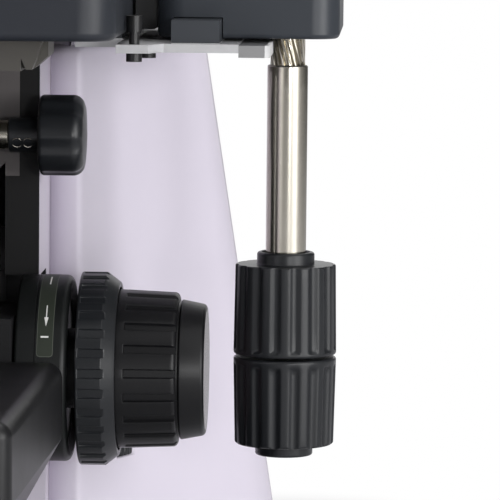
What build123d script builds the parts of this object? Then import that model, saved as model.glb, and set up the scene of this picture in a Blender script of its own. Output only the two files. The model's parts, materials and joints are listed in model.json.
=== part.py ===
"""Inverted microscope for the life science bench, as an assembly of separate pieces.

Millimetres. The origin is on the bench, at the centre of the footprint. +X is the
user's right, +Y points to the back of the instrument and +Z is up.
"""

from build123d import *
from math import asin, atan2, cos, degrees, floor, pi, radians, sin, sqrt, tan
import os

# Gaps and cutters
running = 0.05
sliding = 0.3
overrun = 1.0

# Feet and base plate
foot_radius = 14.0
foot_height = 6.0
foot_chamfer = 1.5
foot_side_x = 58.0
foot_rear_x = 96.0
foot_inset = 30.0
plate_thickness = 6.0
plate_inset = 3.0
plate_corner = 8.0
plate_corner_share = 0.9999
deck_z = foot_height + plate_thickness

# Places along the depth of the stand
optical_y = -20.0
focus_offset = 40.0
knob_room = 35.0
nose_length = 128.0
rear_length = 113.0
stage_depth = 240.0
stage_front_offset = 120.0
stage_back_gap = 10.0
focus_y = optical_y - focus_offset
frame_front_y = focus_y - knob_room
nose_front_y = frame_front_y - nose_length
stage_front_y = optical_y - stage_front_offset
stage_back_y = stage_front_y + stage_depth
frame_back_y = stage_back_y + stage_back_gap
stand_back_y = frame_back_y + rear_length

# Lower frame casting
frame_half = 62.0
frame_height = 110.0
frame_rear_half = 74.5
frame_wall = 10.0
knob_bay = 67.0
boss_half = 69.5
boss_back = 20.0
boss_front = 28.0
boss_top = 17.6
boss_drop = 23.0
frame_top_z = deck_z + frame_height
focus_rise = 83.0
focus_z = deck_z + focus_rise
bay_back_y = frame_front_y + knob_bay

# Light path through the frame
light_radius = 17.0
relay_rise = 40.0
relay_offset = 161.0
mirror_half = 14.0
mirror_thickness = 4.0
lens_thickness = 6.0
lens_place = 62.0
lens_gap = 0.1
relay_z = deck_z + relay_rise
relay_y = optical_y - relay_offset

# Pocket for the focusing slide
pocket_half = 33.0
pocket_front = 9.0
pocket_back_gap = 2.0
pocket_drop = 19.0
pocket_front_y = focus_y - pocket_front
pocket_back_y = optical_y - light_radius - pocket_back_gap
pocket_floor_z = focus_z - pocket_drop

# Upper frame: front column and two cheeks
shell_height = 178.0
shell_top_drop = 3.0
column_half = 58.0
column_depth = 43.0
column_recess = 36.0
flange_half = 68.0
flange_depth = 8.0
flange_drop = 35.0
flange_bevel = 8.0
cheek_thickness = 10.5
cheek_inner = frame_rear_half - cheek_thickness
shell_top_z = deck_z + shell_height
upper_top_z = shell_top_z - shell_top_drop
column_back_y = frame_front_y + column_depth
cheek_front_y = column_back_y + flange_depth
cheek_back_y = stage_back_y

# Front casing
nose_back_half = 85.1
nose_front_share = 0.968
nose_low_half = 74.7
nose_height = 88.8
nose_flare_low = 48.0
nose_flare_high = 66.7
nose_edge = 4.5
nose_wall = 3.5
nose_top_z = deck_z + nose_height

# Pale side shells and rear cover
shell_gap = 1.5
shell_front_width = 11.5
shell_front_gap = 78.0
shell_low_half = 143.0
shell_high_half = 115.4
shell_wide_back = 20.0
shell_corner = 5.5
shell_soft = 60.0
shell_soft_share = 0.95
shell_wall = 3.5
shell_top_edge = 3.0
rear_side_length = 55.0
rear_corner_side = 52.0
rear_corner = 28.0
rear_taper = 6.0
rear_rise = 26.0
rear_slope = 30.0
shell_inner = frame_rear_half + shell_gap
shell_front_half = shell_inner + shell_front_width
shell_front_y = frame_front_y + shell_front_gap
shell_wide_y = frame_back_y - shell_wide_back
rear_top_z = shell_top_z + rear_rise

# Brightness wheel in the right shell
wheel_radius = 10.0
wheel_width = 8.0
wheel_rise = 41.5
wheel_inset_x = -0.7
wheel_inset_y = 30.1
wheel_hub = 3.5
wheel_pin = 2.0
wheel_shelf = 3.0
wheel_notches = 18
wheel_notch = 0.7
wheel_x = shell_front_half - wheel_inset_x
wheel_y = shell_front_y + wheel_inset_y
wheel_z = deck_z + wheel_rise

# Stage
bracket_height = 9.6
stage_half = 103.0
stage_thickness = 15.4
stage_corner = 11.0
stage_edge = 2.5
stage_opening = 54.0
stage_ledge = 4.0
insert_thickness = 3.0
insert_hole = 15.0
relief_radius = 75.0
relief_height = 7.4
stage_bottom_z = upper_top_z + bracket_height
stage_top_z = stage_bottom_z + stage_thickness

# Stage brackets
rail_width = 12.5
rail_inner = frame_rear_half - rail_width
rail_front = 20.0
gusset_depth = 7.0
gusset_outer = frame_rear_half + 6.3
gusset_top_inner = frame_rear_half - 2.6
gusset_tip_inner = frame_rear_half + 1.4
gusset_tip_outer = frame_rear_half + 3.1
gusset_shoulder = frame_rear_half + 4.6
gusset_rise_share = 0.42
lug_inner = frame_rear_half + 3.1
lug_outer = frame_rear_half + 7.2
lug_depth = 18.0

# Focus sleeves, torque ring and focus knobs
sleeve_radius = 12.0
sleeve_reach = 26.0
coarse_radius = 7.0
coarse_core = 5.0
coarse_start = 34.0
spindle_radius = 3.0
torque_gap = 0.5
torque_radius = 28.0
torque_width = 15.5
torque_edge = 1.8
torque_groove = 0.5
torque_band = 5.3
torque_band_depth = 0.4
torque_recess = 2.0
torque_recess_radius = 25.0
ring_gap = 2.5
ring_radius = 29.0
ring_width = 11.6
ring_chamfer = 3.9
ring_bevel = 3.0
ring_pockets = 30
ring_pocket_width = 3.0
ring_pocket_depth = 0.7
ring_pocket_margin = 0.6
ring_nest = 1.2
ring_nest_gap = 0.7
fine_radius = 23.9
fine_end_radius = 23.1
fine_nest = 1.1
fine_width = 18.9
fine_shoulder = 3.4
fine_grooves = 20
fine_groove_width = 2.7
fine_groove_depth = 1.0
fine_groove_margin = 1.4
fine_edge = 1.4
cap_radius = 21.0
cap_end_radius = 19.2
cap_width = 8.2
cap_edge = 1.8
cap_dish = 0.5
torque_x = boss_half + torque_gap
torque_end_x = torque_x + torque_width
ring_x = torque_end_x + ring_gap
ring_end_x = ring_x + ring_width
fine_x = ring_end_x - fine_nest
fine_end_x = fine_x + fine_width
cap_end_x = fine_end_x + cap_width
sleeve_end_x = ring_x - torque_gap

# Focus rack and pinion
lift_module = 0.8
lift_teeth = 15
lift_half = 7.0
lift_backing = 1.0
lift_root_gap = 0.25
tooth_tip_share = 0.34
tooth_pitch_share = 0.68
tooth_root_share = 1.02
rack_tip_share = 0.34
rack_root_share = 1.08
lift_pitch = lift_module * lift_teeth / 2

# Focusing slide
slide_half = 30.0
slide_bottom_gap = 4.0
slide_back_gap = 0.4
slide_rise = 20.0
rail_half = 4.0
rail_place = 26.0
rail_height = 4.0
rail_length = 42.0
slide_block_half = 20.0
slide_block_drop = 17.0
slide_rib_drop = 7.0
slide_rib_reach = 24.0

# Objective turret, tilted back about the point where all the objective axes meet
turret_tilt = 20.0
seat_radius = 28.0
parfocal = 45.0
defocus = 1.5
objective_count = 4
dome_thickness = 11.5
dome_top_gap = 2.4
dome_angle = 33.0
dome_notches = 24
seat_boss = 13.5
seat_boss_length = 8.0
thread_radius = 10.0
thread_gap = 0.2
thread_length = 4.8
light_hole = 9.0
turret_pin = 6.0
turret_shoulder = 12.0
turret_hub = 14.0
turret_hub_drop = 4.0
hub_plate = 28.0
hub_plate_thickness = 5.0
hub_plate_gap = 1.2
pin_top_gap = 3.0
carrier_hole = 12.0
seat_distance = seat_radius / sin(radians(turret_tilt))
apex_z = stage_top_z - defocus - parfocal - seat_distance

# Objectives: working distance, and the radii of barrel and tip
objective_flange = 12.2
objective_flange_length = 5.0
objective_waist = 11.2
objective_waist_length = 1.2
objective_base = 1.0
objective_specs = {
    "objective_4x": {"working": 17.2, "barrel": 12.6, "tip": 7.5, "nose": 8.0},
    "objective_10x": {"working": 9.6, "barrel": 12.2, "tip": 6.0, "nose": 9.0},
    "objective_20x": {"working": 5.1, "barrel": 13.0, "tip": 6.5, "nose": 10.0},
    "objective_40x": {"working": 2.8, "barrel": 13.4, "tip": 5.0, "nose": 11.0},
}

# Selector shaft and knob on the front column
selector_drop = 22.0
selector_shaft = 2.5
selector_start = 40.0
selector_neck = 5.3
selector_neck_x = 66.0
selector_x = 75.2
selector_radius = 12.1
selector_width = 13.2
selector_edge = 3.2
selector_dome = 0.8
selector_flutes = 6
selector_turned = 13.7
selector_flute_radius = 6.0
selector_flute_depth = 0.7
screw_radius = 1.2
screw_depth = 1.5
screw_pitch = 3.1
screw_first = 2.4
selector_z = upper_top_z - selector_drop

# Fixed track of the mechanical stage
track_z_gap = 2.3
track_thickness = 2.5
track_inner = 86.0
track_front = 43.0
track_step = 8.0
track_step_x = 110.0
track_outer = 135.7
track_back = 130.0
tongue_depth = 36.0
tongue_x = 100.7
pad_outer = 100.0
pad_length = 130.0
guide_inner = 116.0
guide_outer = 130.0
guide_height = 6.7
guide_front = 3.0
guide_length = 167.0
track_top_z = stage_bottom_z - track_z_gap
track_low_z = track_top_z - track_thickness
track_front_y = focus_y - track_front
track_edge_y = track_front_y + track_step
track_back_y = optical_y + track_back - focus_offset

# Rack of the fore-and-aft motion, with skewed teeth
stage_teeth = 18
stage_module = 0.52
helix_angle = 16.0
rack_height = 3.5
rack_drop = 1.3
rack_width = 8.0
rack_length = 95.0
rack_backing = 0.4
stage_pitch = stage_teeth * stage_module / 2
stage_tip = stage_pitch + stage_module * 0.96
stage_root = stage_pitch - stage_module * 1.25
rack_root_x = track_outer + rack_width
rack_low_z = track_low_z - rack_drop
rack_mid_z = rack_low_z + rack_height / 2
control_x = rack_root_x + stage_module * 1.25 + stage_pitch
control_y = focus_y

# Screws of the track
screw_shank = 1.5
head_radius = 2.3
head_height = 2.5
cap_head_radius = 2.35
cap_head_height = 4.7
cap_head_gap = 3.6
socket_radius = 1.3
socket_depth = 2.0
screw_one_inset = 3.0
screw_one_x = stage_half + 2.8
screw_two_x = stage_half + 5.4
screw_two_inset = 26.0

# Fore-and-aft carriage
box_gap = 7.6
box_outer = 15.5
box_front = 15.0
box_length = 80.0
box_lift = 0.8
box_corner = 8.5
box_low_edge = 1.5
box_floor_top = 12.6
box_roof = 3.3
box_x = stage_half + box_gap
box_end_x = control_x + box_outer
box_front_y = control_y - box_front
box_back_y = box_front_y + box_length
box_low_z = track_top_z + box_lift

# Coaxial stage control
pinion_low = 5.0
pinion_top = 5.2
tooth_room = 0.4
journal_radius = 4.5
tube_radius = 6.0
tube_length = 55.2
inner_radius = 3.25
collar_radius = 8.6
collar_height = 4.9
upper_knob_top = 15.0
upper_knob_low = 15.4
upper_knob_height = 26.6
knob_gap = 1.5
lower_knob_top = 15.4
lower_knob_low = 14.8
lower_knob_height = 26.4
lower_cap = 8.6
lower_cap_height = 3.4
knob_edge = 1.0
knob_chamfer = 1.0
knob_band = 1.4
knob_flutes = 16
knob_turned = -76.9
knob_flute_radius = 2.2
knob_flute_depth = 0.85
control_cup = 1.2
tube_top_z = track_low_z - pinion_low
tube_low_z = tube_top_z - tube_length
upper_knob_z = tube_low_z - collar_height - upper_knob_height + overrun
lower_knob_z = upper_knob_z - knob_gap - lower_knob_height
pinion_top_z = box_low_z + pinion_top

# Cross bar, specimen holder and clip
bar_lift = 2.4
bar_height = 6.0
bar_depth = 9.9
cross_teeth = 18
cross_module = 0.5
cross_travel = 57.0
fore_travel = 30.0
aft_travel = 45.0
bar_tail = 6.0
holder_half = 52.0
holder_thickness = 2.0
holder_front = 38.0
holder_back = 44.0
holder_corner = 6.0
slot_half = 40.0
slot_depth = 44.0
slot_corner = 3.0
clip_thickness = 2.0
clip_pin = 2.0
clip_width = 3.2
clip_x = 44.0
clip_back = 34.0
clip_reach = 20.0
clip_lean = 8.0
cross_pitch = cross_teeth * cross_module / 2
bar_front_y = control_y + cross_pitch + cross_module * 1.25
bar_low_z = stage_top_z + bar_lift
bar_high_z = bar_low_z + bar_height
holder_low_z = bar_low_z - holder_thickness
box_top_z = bar_high_z + sliding + box_roof

# Head column, viewing head and eyepieces
head_column_x = 104.0
head_column_y = 66.0
head_column_top_x = 84.0
head_column_top_y = 60.0
head_column_height = 152.0
head_column_corner = 14.0
head_bore = 20.0
head_half = 34.0
head_tilt = 45.0
head_rise = 52.0
head_front = 21.0
head_face_low = 30.0
head_face_high = 36.0
head_back = 50.0
head_round = 7.0
head_collar = 27.0
head_collar_height = 6.0
port_radius = 18.0
port_bore = 11.6
port_length = 24.0
port_depth = 34.0
port_back = 13.0
swing_hub = 17.0
swing_boss = 19.0
swing_arm = 37.5
swing_rest = 30.0
swing_thickness = 9.7
swing_pin = 6.0
tube_outer = 15.0
tube_inner = 12.0
tube_reach = 46.0
eyepiece_radius = 16.5
eyepiece_length = 30.0
eyepiece_seat = 14.0
eyecup_radius = 18.5
eyecup_length = 9.0
eye_lens = 10.0
ring_clear = 3.0
diopter_radius = 18.0
diopter_length = 9.0
diopter_notches = 24
head_top_z = nose_top_z + head_column_height

# Light arm, lamp and condenser
pillar_half = 34.0
pillar_depth = 54.0
pillar_back = 30.0
pillar_wall = 6.0
pillar_corner = 9.0
pillar_gap = 0.5
arm_low = 258.0
arm_height = 36.0
arm_half = 33.0
arm_front = 42.0
arm_corner = 20.0
arm_wall = 5.0
lamp_radius = 36.0
lamp_height = 40.0
lamp_fins = 7
fin_gap = 2.6
fin_depth = 5.0
spigot_radius = 24.0
spigot_bore = 20.0
spigot_length = 24.0
spigot_lip = 1.5
field_radius = 31.0
field_length = 10.0
field_notches = 28
collector_thickness = 6.0
guide_half = 11.0
guide_proud = 8.0
guide_low = 56.0
guide_high = 190.0
carrier_half = 24.0
carrier_depth = 21.0
carrier_height = 44.0
carrier_arm_half = 15.0
carrier_arm_height = 14.0
carrier_ring = 34.0
carrier_bore = 28.0
condenser_gap = 73.0
condenser_nose = 20.0
condenser_nose_length = 8.0
condenser_body = 27.8
condenser_body_length = 34.0
condenser_flange = 31.0
condenser_flange_length = 18.0
iris_drop = 13.0
iris_height = 4.0
iris_inner = 17.0
iris_outer = 24.0
iris_angle = 40.0
lever_reach = 50.0
lever_half = 2.5
lever_tip = 4.0
slider_half = 15.0
slider_thickness = 4.0
slider_length = 62.0
slider_hole = 9.0
slider_pitch = 34.0
slider_rise = 5.0
condenser_lift = 30.0
condenser_fall = 12.0
arm_low_z = stage_top_z + arm_low
arm_top_z = arm_low_z + arm_height
pillar_back_y = stand_back_y - pillar_back
pillar_front_y = pillar_back_y - pillar_depth
condenser_z = stage_top_z + condenser_gap
flange_z = condenser_z + condenser_nose_length + condenser_body_length

# Power inlet and switch on the rear cover
inlet_side_gap = 43.0
inlet_x = shell_low_half - rear_corner_side - inlet_side_gap
inlet_rise = 40.0
inlet_half = 14.5
inlet_height = 25.0
inlet_depth = 16.0
inlet_rim = 3.0
inlet_proud = 1.5
inlet_cavity = 12.0
blade_half = 1.0
blade_height = 5.0
blade_pitch = 7.0
switch_x = 20.0
switch_half = 6.0
switch_height = 11.0
switch_depth = 9.0
switch_angle = 9.0
switch_pin = 1.5
switch_bezel = 3.0
switch_relief = 1.0
inlet_z = deck_z + inlet_rise


def drawn(face, direction, length):
    """A flat outline drawn out along a direction."""
    return extrude(face, length, dir=direction)


def rod(radius, start, end):
    """A round bar between two points."""
    path = Vector(*end) - Vector(*start)
    plane = Plane(origin=Vector(*start), z_dir=path)
    return drawn(plane * Circle(radius), path, path.length)


def tube(outer, inner, start, end):
    """A round bar with a bore right through it."""
    return rod(outer, start, end) - rod(inner, start, end)


def block(low, high):
    """A rectangular block between its lowest and highest corners."""
    size = Vector(*high) - Vector(*low)
    return Pos(*low) * Box(size.X, size.Y, size.Z, align=Align.MIN)


def pillow(low, high, radius):
    """A block whose upright edges are rounded."""
    size = Vector(*high) - Vector(*low)
    centre = Pos(low[0] + size.X / 2, low[1] + size.Y / 2, low[2])
    return extrude(centre * RectangleRounded(size.X, size.Y, radius), size.Z)


def plan_prism(points, low, high):
    """An (x, y) outline raised from one height to another."""
    return drawn(Pos(0, 0, low) * Polygon(*points, align=None), (0, 0, 1), high - low)


def front_prism(points, low, high):
    """An (x, z) outline drawn out along Y."""
    plane = Plane(origin=(0, low, 0), x_dir=(1, 0, 0), z_dir=(0, -1, 0))
    return drawn(plane * Polygon(*points, align=None), (0, 1, 0), high - low)


def side_prism(points, low, high):
    """A (y, z) outline drawn out along X."""
    return drawn(Plane.YZ.offset(low) * Polygon(*points, align=None), (1, 0, 0), high - low)


def lathe(outline, start, direction):
    """A turned piece: (radius, height) points spun about an axis."""
    turned = revolve(Plane.XZ * Polygon(*outline, align=None), Axis.Z)
    return Plane(origin=Vector(*start), z_dir=Vector(*direction)).location * turned


def both_sides(shape):
    """The shape and its mirror image across the middle of the instrument."""
    return shape + mirror(shape, about=Plane.YZ)


def mirrored(points):
    """A right-hand outline closed by its own left-hand mirror image."""
    return points + [(-x, z) for x, z in reversed(points)]


def notched(radius, count, cutter, depth, turned=0):
    """A round section with hollows spaced evenly around its edge."""
    hollows = PolarLocations(radius + cutter - depth, count, start_angle=turned) * Circle(cutter)
    return Circle(radius) - hollows


# Base plate and feet

def shell_half_at(height):
    """Half the width of the pale body at its widest, which shrinks with height."""
    share = (height - deck_z) / shell_height
    return shell_low_half + (shell_high_half - shell_low_half) * share


def make_base_plate():
    wide = shell_low_half - plate_inset
    edge = [
        (nose_low_half - plate_inset, nose_front_y + plate_inset),
        (nose_low_half - plate_inset, shell_front_y + plate_inset),
        (shell_front_half - plate_inset, shell_front_y + plate_inset),
        (wide, shell_wide_y),
        (wide, frame_back_y + rear_side_length - plate_inset),
        (wide - rear_corner_side, stand_back_y - plate_inset),
    ]
    outline = Polygon(*mirrored(edge), align=None)
    turn = atan2(shell_wide_y - shell_front_y - plate_inset, wide - shell_front_half + plate_inset)
    step = shell_front_half - nose_low_half
    longest = plate_corner_share * step / (1 + tan(turn / 2))
    outline = fillet(outline.vertices(), min(plate_corner, longest))
    return drawn(Pos(0, 0, foot_height) * outline, (0, 0, 1), plate_thickness)


def make_rubber_feet():
    profile = [
        (0, 0),
        (foot_radius - foot_chamfer, 0),
        (foot_radius, foot_chamfer),
        (foot_radius, foot_height),
        (0, foot_height),
    ]
    front_y = nose_front_y + foot_inset
    rear_y = stand_back_y - foot_inset
    places = [(foot_side_x, front_y), (foot_rear_x, rear_y)]
    feet = [lathe(profile, (side * x, y, 0), (0, 0, 1)) for x, y in places for side in (-1, 1)]
    return Compound(feet)


# Lower frame casting with its light path

def light_shaft():
    """The upright and level bores that the light runs through."""
    upright = rod(light_radius, (0, optical_y, relay_z), (0, optical_y, frame_top_z + overrun))
    level = rod(light_radius, (0, frame_front_y - overrun, relay_z), (0, optical_y, relay_z))
    well = block(
        (-light_radius, optical_y - light_radius, deck_z - overrun),
        (light_radius, optical_y + light_radius, relay_z + light_radius),
    )
    return upright + level + well


def slide_pocket():
    return block(
        (-pocket_half, pocket_front_y, pocket_floor_z),
        (pocket_half, pocket_back_y, frame_top_z + overrun),
    )


def make_frame_block():
    edge = [
        (frame_half, frame_front_y),
        (frame_half, bay_back_y),
        (frame_rear_half, bay_back_y),
        (frame_rear_half, frame_back_y),
    ]
    body = plan_prism(mirrored(edge), deck_z, frame_top_z)
    boss = block(
        (-boss_half, focus_y - boss_front, focus_z - boss_drop),
        (boss_half, focus_y + boss_back, focus_z + boss_top),
    )
    axle = rod(
        sleeve_radius,
        (-boss_half - overrun, focus_y, focus_z),
        (boss_half + overrun, focus_y, focus_z),
    )
    core = block(
        (-frame_rear_half + frame_wall, optical_y + light_radius + frame_wall, deck_z - overrun),
        (frame_rear_half - frame_wall, frame_back_y - frame_wall, frame_top_z - frame_wall),
    )
    return body + boss - axle - slide_pocket() - light_shaft() - core


def make_upper_frame():
    """The front column, its flange and the two cheeks, as one open casting."""
    column = block((-column_half, frame_front_y, frame_top_z), (column_half, column_back_y, upper_top_z))
    low = upper_top_z - flange_drop
    edge = [
        (flange_half - flange_bevel, low),
        (flange_half, low + flange_bevel),
        (flange_half, upper_top_z),
    ]
    flange = front_prism(mirrored(edge), column_back_y, cheek_front_y)
    cheek = block((cheek_inner, cheek_front_y - flange_depth, frame_top_z), (frame_rear_half, cheek_back_y, upper_top_z))
    recess = block(
        (-column_recess, pocket_front_y, frame_top_z - overrun),
        (column_recess, cheek_front_y + overrun, upper_top_z + overrun),
    )
    shaft = rod(
        selector_shaft + running,
        (column_recess - overrun, focus_y, selector_z),
        (column_half + overrun, focus_y, selector_z),
    )
    return column + flange + both_sides(cheek) - recess - shaft


# Mirrors and tube lens

def make_fold_mirrors():
    """Two wedges under 45 degrees, each with its mirror on the slope."""
    reach = mirror_half
    low = relay_z - reach
    high = relay_z + reach
    near = [
        (optical_y - reach, deck_z),
        (optical_y - reach, low),
        (optical_y + reach, high),
        (optical_y + reach, deck_z),
    ]
    far = [
        (relay_y - reach, deck_z),
        (relay_y - reach, high),
        (relay_y + reach, low),
        (relay_y + reach, deck_z),
    ]
    return Compound([side_prism(points, -reach, reach) for points in (near, far)])


def make_tube_lens():
    centre = optical_y - lens_place
    radius = light_radius - lens_gap
    start = (0, centre, relay_z)
    return rod(radius, start, (0, centre + lens_thickness, relay_z))


# Front casing

def nose_section(half, inset, floor):
    """The casing seen from the front: straight below, flared above."""
    low = nose_low_half * half / nose_back_half - inset
    high = half - inset
    edge = [
        (low, floor),
        (low, deck_z + nose_flare_low),
        (high, deck_z + nose_flare_high),
        (high, nose_top_z - inset),
    ]
    return Polygon(*mirrored(edge), align=None)


def nose_loft(inset, front, back, floor):
    """The casing's form between its front and its back, or its hollow with an inset."""
    front_half = nose_back_half * nose_front_share
    sections = []
    for half, place in ((front_half, front), (nose_back_half, back)):
        outline = nose_section(half, inset, floor)
        outline = fillet(outline.vertices().sort_by(Axis.Y)[-2:], nose_edge)
        plane = Plane(origin=(0, place, 0), x_dir=(1, 0, 0), z_dir=(0, -1, 0))
        sections.append(plane * outline)
    return loft(sections)


def make_front_casing():
    body = nose_loft(0, nose_front_y, frame_front_y, deck_z)
    front_edges = body.faces().sort_by(Axis.Y)[0].edges().sort_by(Axis.Z)[1:]
    body = fillet(front_edges, nose_edge)
    hollow = nose_loft(
        nose_wall, nose_front_y + nose_wall, frame_front_y - nose_wall, deck_z - overrun
    )
    level = rod(light_radius, (0, frame_front_y - nose_wall - overrun, relay_z), (0, frame_front_y + overrun, relay_z))
    upright = rod(head_bore, (0, relay_y, nose_top_z - nose_wall - overrun), (0, relay_y, nose_top_z + overrun))
    return body - hollow - level - upright


# Pale shells

def side_section(height, inset, inner, back):
    """Plan of the right-hand shell at one height."""
    wide = shell_half_at(height) - inset
    front = shell_front_y + inset
    outline = Polygon(
        (inner, front),
        (shell_front_half - inset, front),
        (wide, shell_wide_y),
        (wide, back),
        (inner, back),
        align=None,
    )
    corner = outline.vertices().sort_by(Axis.Y)[:2].sort_by(Axis.X)[-1]
    outline = fillet(corner, shell_corner - inset)
    bend = outline.vertices().sort_by(Axis.X)[-2:].sort_by(Axis.Y)[0]
    turn = atan2(wide - shell_front_half + inset, shell_wide_y - front)
    longest = shell_soft_share * (back - shell_wide_y) / tan(turn / 2)
    outline = fillet(bend, min(shell_soft, longest))
    return Pos(0, 0, height) * outline


def side_form(inset, inner, back, low, high):
    return loft([side_section(height, inset, inner, back) for height in (low, high)])


def make_plain_shell():
    body = side_form(0, shell_inner, frame_back_y, deck_z, shell_top_z)
    hollow = side_form(
        shell_wall,
        shell_inner - overrun,
        frame_back_y + overrun,
        deck_z - overrun,
        shell_top_z - shell_wall,
    )
    return body - hollow


def make_shell_right():
    shell = make_plain_shell()
    shelf = block(
        (shell_inner, shell_front_y + shell_wall, wheel_z - sliding - wheel_shelf),
        (wheel_x + wheel_hub, wheel_y + wheel_radius, wheel_z - sliding),
    )
    room = rod(
        wheel_radius + sliding,
        (wheel_x, wheel_y, wheel_z - sliding),
        (wheel_x, wheel_y, wheel_z + wheel_width + sliding),
    )
    pin_hole = rod(
        wheel_pin + running,
        (wheel_x, wheel_y, wheel_z - sliding - wheel_shelf - overrun),
        (wheel_x, wheel_y, wheel_z + overrun),
    )
    outside = side_form(0, shell_inner, frame_back_y, deck_z, shell_top_z)
    return shell + (shelf & outside) - room - pin_hole


def make_shell_left():
    return mirror(make_plain_shell(), about=Plane.YZ)


def rear_section(height, inset):
    """Plan of the rear cover at one height."""
    wide = shell_half_at(height) - inset
    side_y = frame_back_y + rear_side_length
    edge = [
        (wide, frame_back_y),
        (wide - rear_taper, side_y),
        (wide - rear_corner_side, stand_back_y - inset),
    ]
    outline = Polygon(*mirrored(edge), align=None)
    rear = outline.vertices().sort_by(Axis.Y)[2:]
    return Pos(0, 0, height) * fillet(rear, rear_corner)


def slope_cutter(drop):
    """The wedge above the sloping front of the rear cover."""
    wide = shell_low_half + overrun
    start = frame_back_y - overrun
    top = rear_top_z + overrun
    outline = [
        (start, shell_top_z - drop),
        (frame_back_y, shell_top_z - drop),
        (frame_back_y + rear_slope, rear_top_z - drop),
        (stand_back_y + overrun, rear_top_z - drop),
        (stand_back_y + overrun, top),
        (start, top),
    ]
    return side_prism(outline, -wide, wide)


def make_rear_cover():
    body = loft([rear_section(deck_z, 0), rear_section(rear_top_z, 0)]) - slope_cutter(0)
    hollow = loft([rear_section(deck_z - overrun, shell_wall), rear_section(rear_top_z, shell_wall)])
    body = body - (hollow - slope_cutter(shell_wall))
    well = pillow(
        (-pillar_half - pillar_gap, pillar_front_y - pillar_gap, shell_top_z - shell_wall),
        (pillar_half + pillar_gap, pillar_back_y + pillar_gap, rear_top_z + overrun),
        pillar_corner,
    )
    inlet = block(
        (-inlet_x - inlet_half, stand_back_y - shell_wall - overrun, inlet_z),
        (-inlet_x + inlet_half, stand_back_y + overrun, inlet_z + inlet_height),
    )
    bezel = switch_bezel
    seat = block(
        (switch_x - switch_half - bezel, stand_back_y - switch_depth, inlet_z - bezel),
        (switch_x + switch_half + bezel, stand_back_y, inlet_z + 2 * switch_height + bezel),
    )
    window = block(
        (switch_x - switch_half, stand_back_y - switch_depth - overrun, inlet_z),
        (switch_x + switch_half, stand_back_y + overrun, inlet_z + 2 * switch_height),
    )
    pin = rod(
        switch_pin + running,
        (switch_x - switch_half - bezel, switch_axis_y(), inlet_z + switch_height),
        (switch_x + switch_half + bezel, switch_axis_y(), inlet_z + switch_height),
    )
    return body - well - inlet + seat - window - pin


# Stage

def make_stage_brackets():
    """A rail on each cheek, with a gusset and a lug at its front."""
    rail = block(
        (rail_inner, frame_front_y - rail_front, upper_top_z),
        (frame_rear_half, cheek_back_y, stage_bottom_z),
    )
    tip = upper_top_z + overrun * gusset_rise_share
    shoulder = upper_top_z + bracket_height * gusset_rise_share
    outline = [
        (gusset_top_inner, stage_bottom_z),
        (gusset_tip_inner, tip),
        (gusset_tip_outer, tip),
        (gusset_shoulder, shoulder),
        (gusset_outer, stage_bottom_z),
    ]
    front = frame_front_y - rail_front
    gusset = front_prism(outline, front, front + gusset_depth)
    lug_outline = [
        (frame_rear_half - overrun, tip),
        (lug_inner, tip),
        (lug_outer, shoulder),
        (lug_outer, stage_bottom_z),
        (frame_rear_half - overrun, stage_bottom_z),
    ]
    lug = front_prism(lug_outline, front + gusset_depth, front + gusset_depth + lug_depth)
    return both_sides(rail + gusset + lug)


def make_stage_plate():
    plate = pillow(
        (-stage_half, stage_front_y, stage_bottom_z),
        (stage_half, stage_front_y + stage_depth, stage_top_z),
        stage_corner,
    )
    plate = fillet(plate.faces().sort_by(Axis.Z)[0].edges(), stage_edge)
    plate = chamfer(plate.faces().sort_by(Axis.Z)[-1].edges(), stage_edge / 3)
    centre = (0, optical_y)
    ledge_z = stage_top_z - insert_thickness
    through = rod(stage_opening - stage_ledge, (*centre, stage_bottom_z - overrun), (*centre, stage_top_z))
    seat = rod(stage_opening, (*centre, ledge_z), (*centre, stage_top_z + overrun))
    relief = rod(relief_radius, (*centre, stage_bottom_z - overrun), (*centre, stage_bottom_z + relief_height))
    return plate - through - seat - relief


def make_stage_insert():
    low = (0, optical_y, stage_top_z - insert_thickness)
    high = (0, optical_y, stage_top_z)
    return tube(stage_opening - sliding, insert_hole, low, high)


# Focus drive

def make_focus_sleeves():
    """Bearing sleeves of the hollow shaft; the left one carries a fixed collar."""
    sleeve = tube(
        sleeve_radius,
        coarse_radius + running,
        (coarse_start, focus_y, focus_z),
        (sleeve_end_x, focus_y, focus_z),
    )
    collar = lathe(
        [
            (sleeve_radius, 0),
            (torque_radius - torque_edge, 0),
            (torque_radius, torque_edge),
            (torque_radius, torque_width - torque_edge),
            (torque_radius - torque_edge, torque_width),
            (sleeve_radius, torque_width),
        ],
        (-boss_half, focus_y, focus_z),
        (-1, 0, 0),
    )
    left = mirror(sleeve, about=Plane.YZ) + collar
    return Compound([sleeve, left])


def make_torque_ring():
    bore = sleeve_radius + running
    band_start = torque_width - 2 * torque_band + torque_groove
    band_end = band_start + torque_band
    recess = torque_width - torque_recess
    outline = [
        (bore, 0),
        (torque_radius - torque_edge, 0),
        (torque_radius, torque_edge),
        (torque_radius, band_start - torque_groove),
        (torque_radius - torque_band_depth, band_start - torque_groove),
        (torque_radius - torque_band_depth, band_end),
        (torque_radius, band_end),
        (torque_radius, torque_width - torque_edge),
        (torque_radius - torque_edge, torque_width),
        (torque_recess_radius, torque_width),
        (torque_recess_radius, recess),
        (bore, recess),
    ]
    return lathe(outline, (torque_x, focus_y, focus_z), (1, 0, 0))


def tooth_points(centre, radius_tip, radius_pitch, radius_root, module):
    """One tooth of a pinion, from its root on one side to its root on the other."""
    widths = (
        (radius_root, -tooth_root_share),
        (radius_pitch, -tooth_pitch_share),
        (radius_tip, -tooth_tip_share),
        (radius_tip, tooth_tip_share),
        (radius_pitch, tooth_pitch_share),
        (radius_root, tooth_root_share),
    )
    points = []
    for radius, share in widths:
        angle = centre + share * module / radius
        points.append((radius * cos(angle), radius * sin(angle)))
    return points


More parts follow.
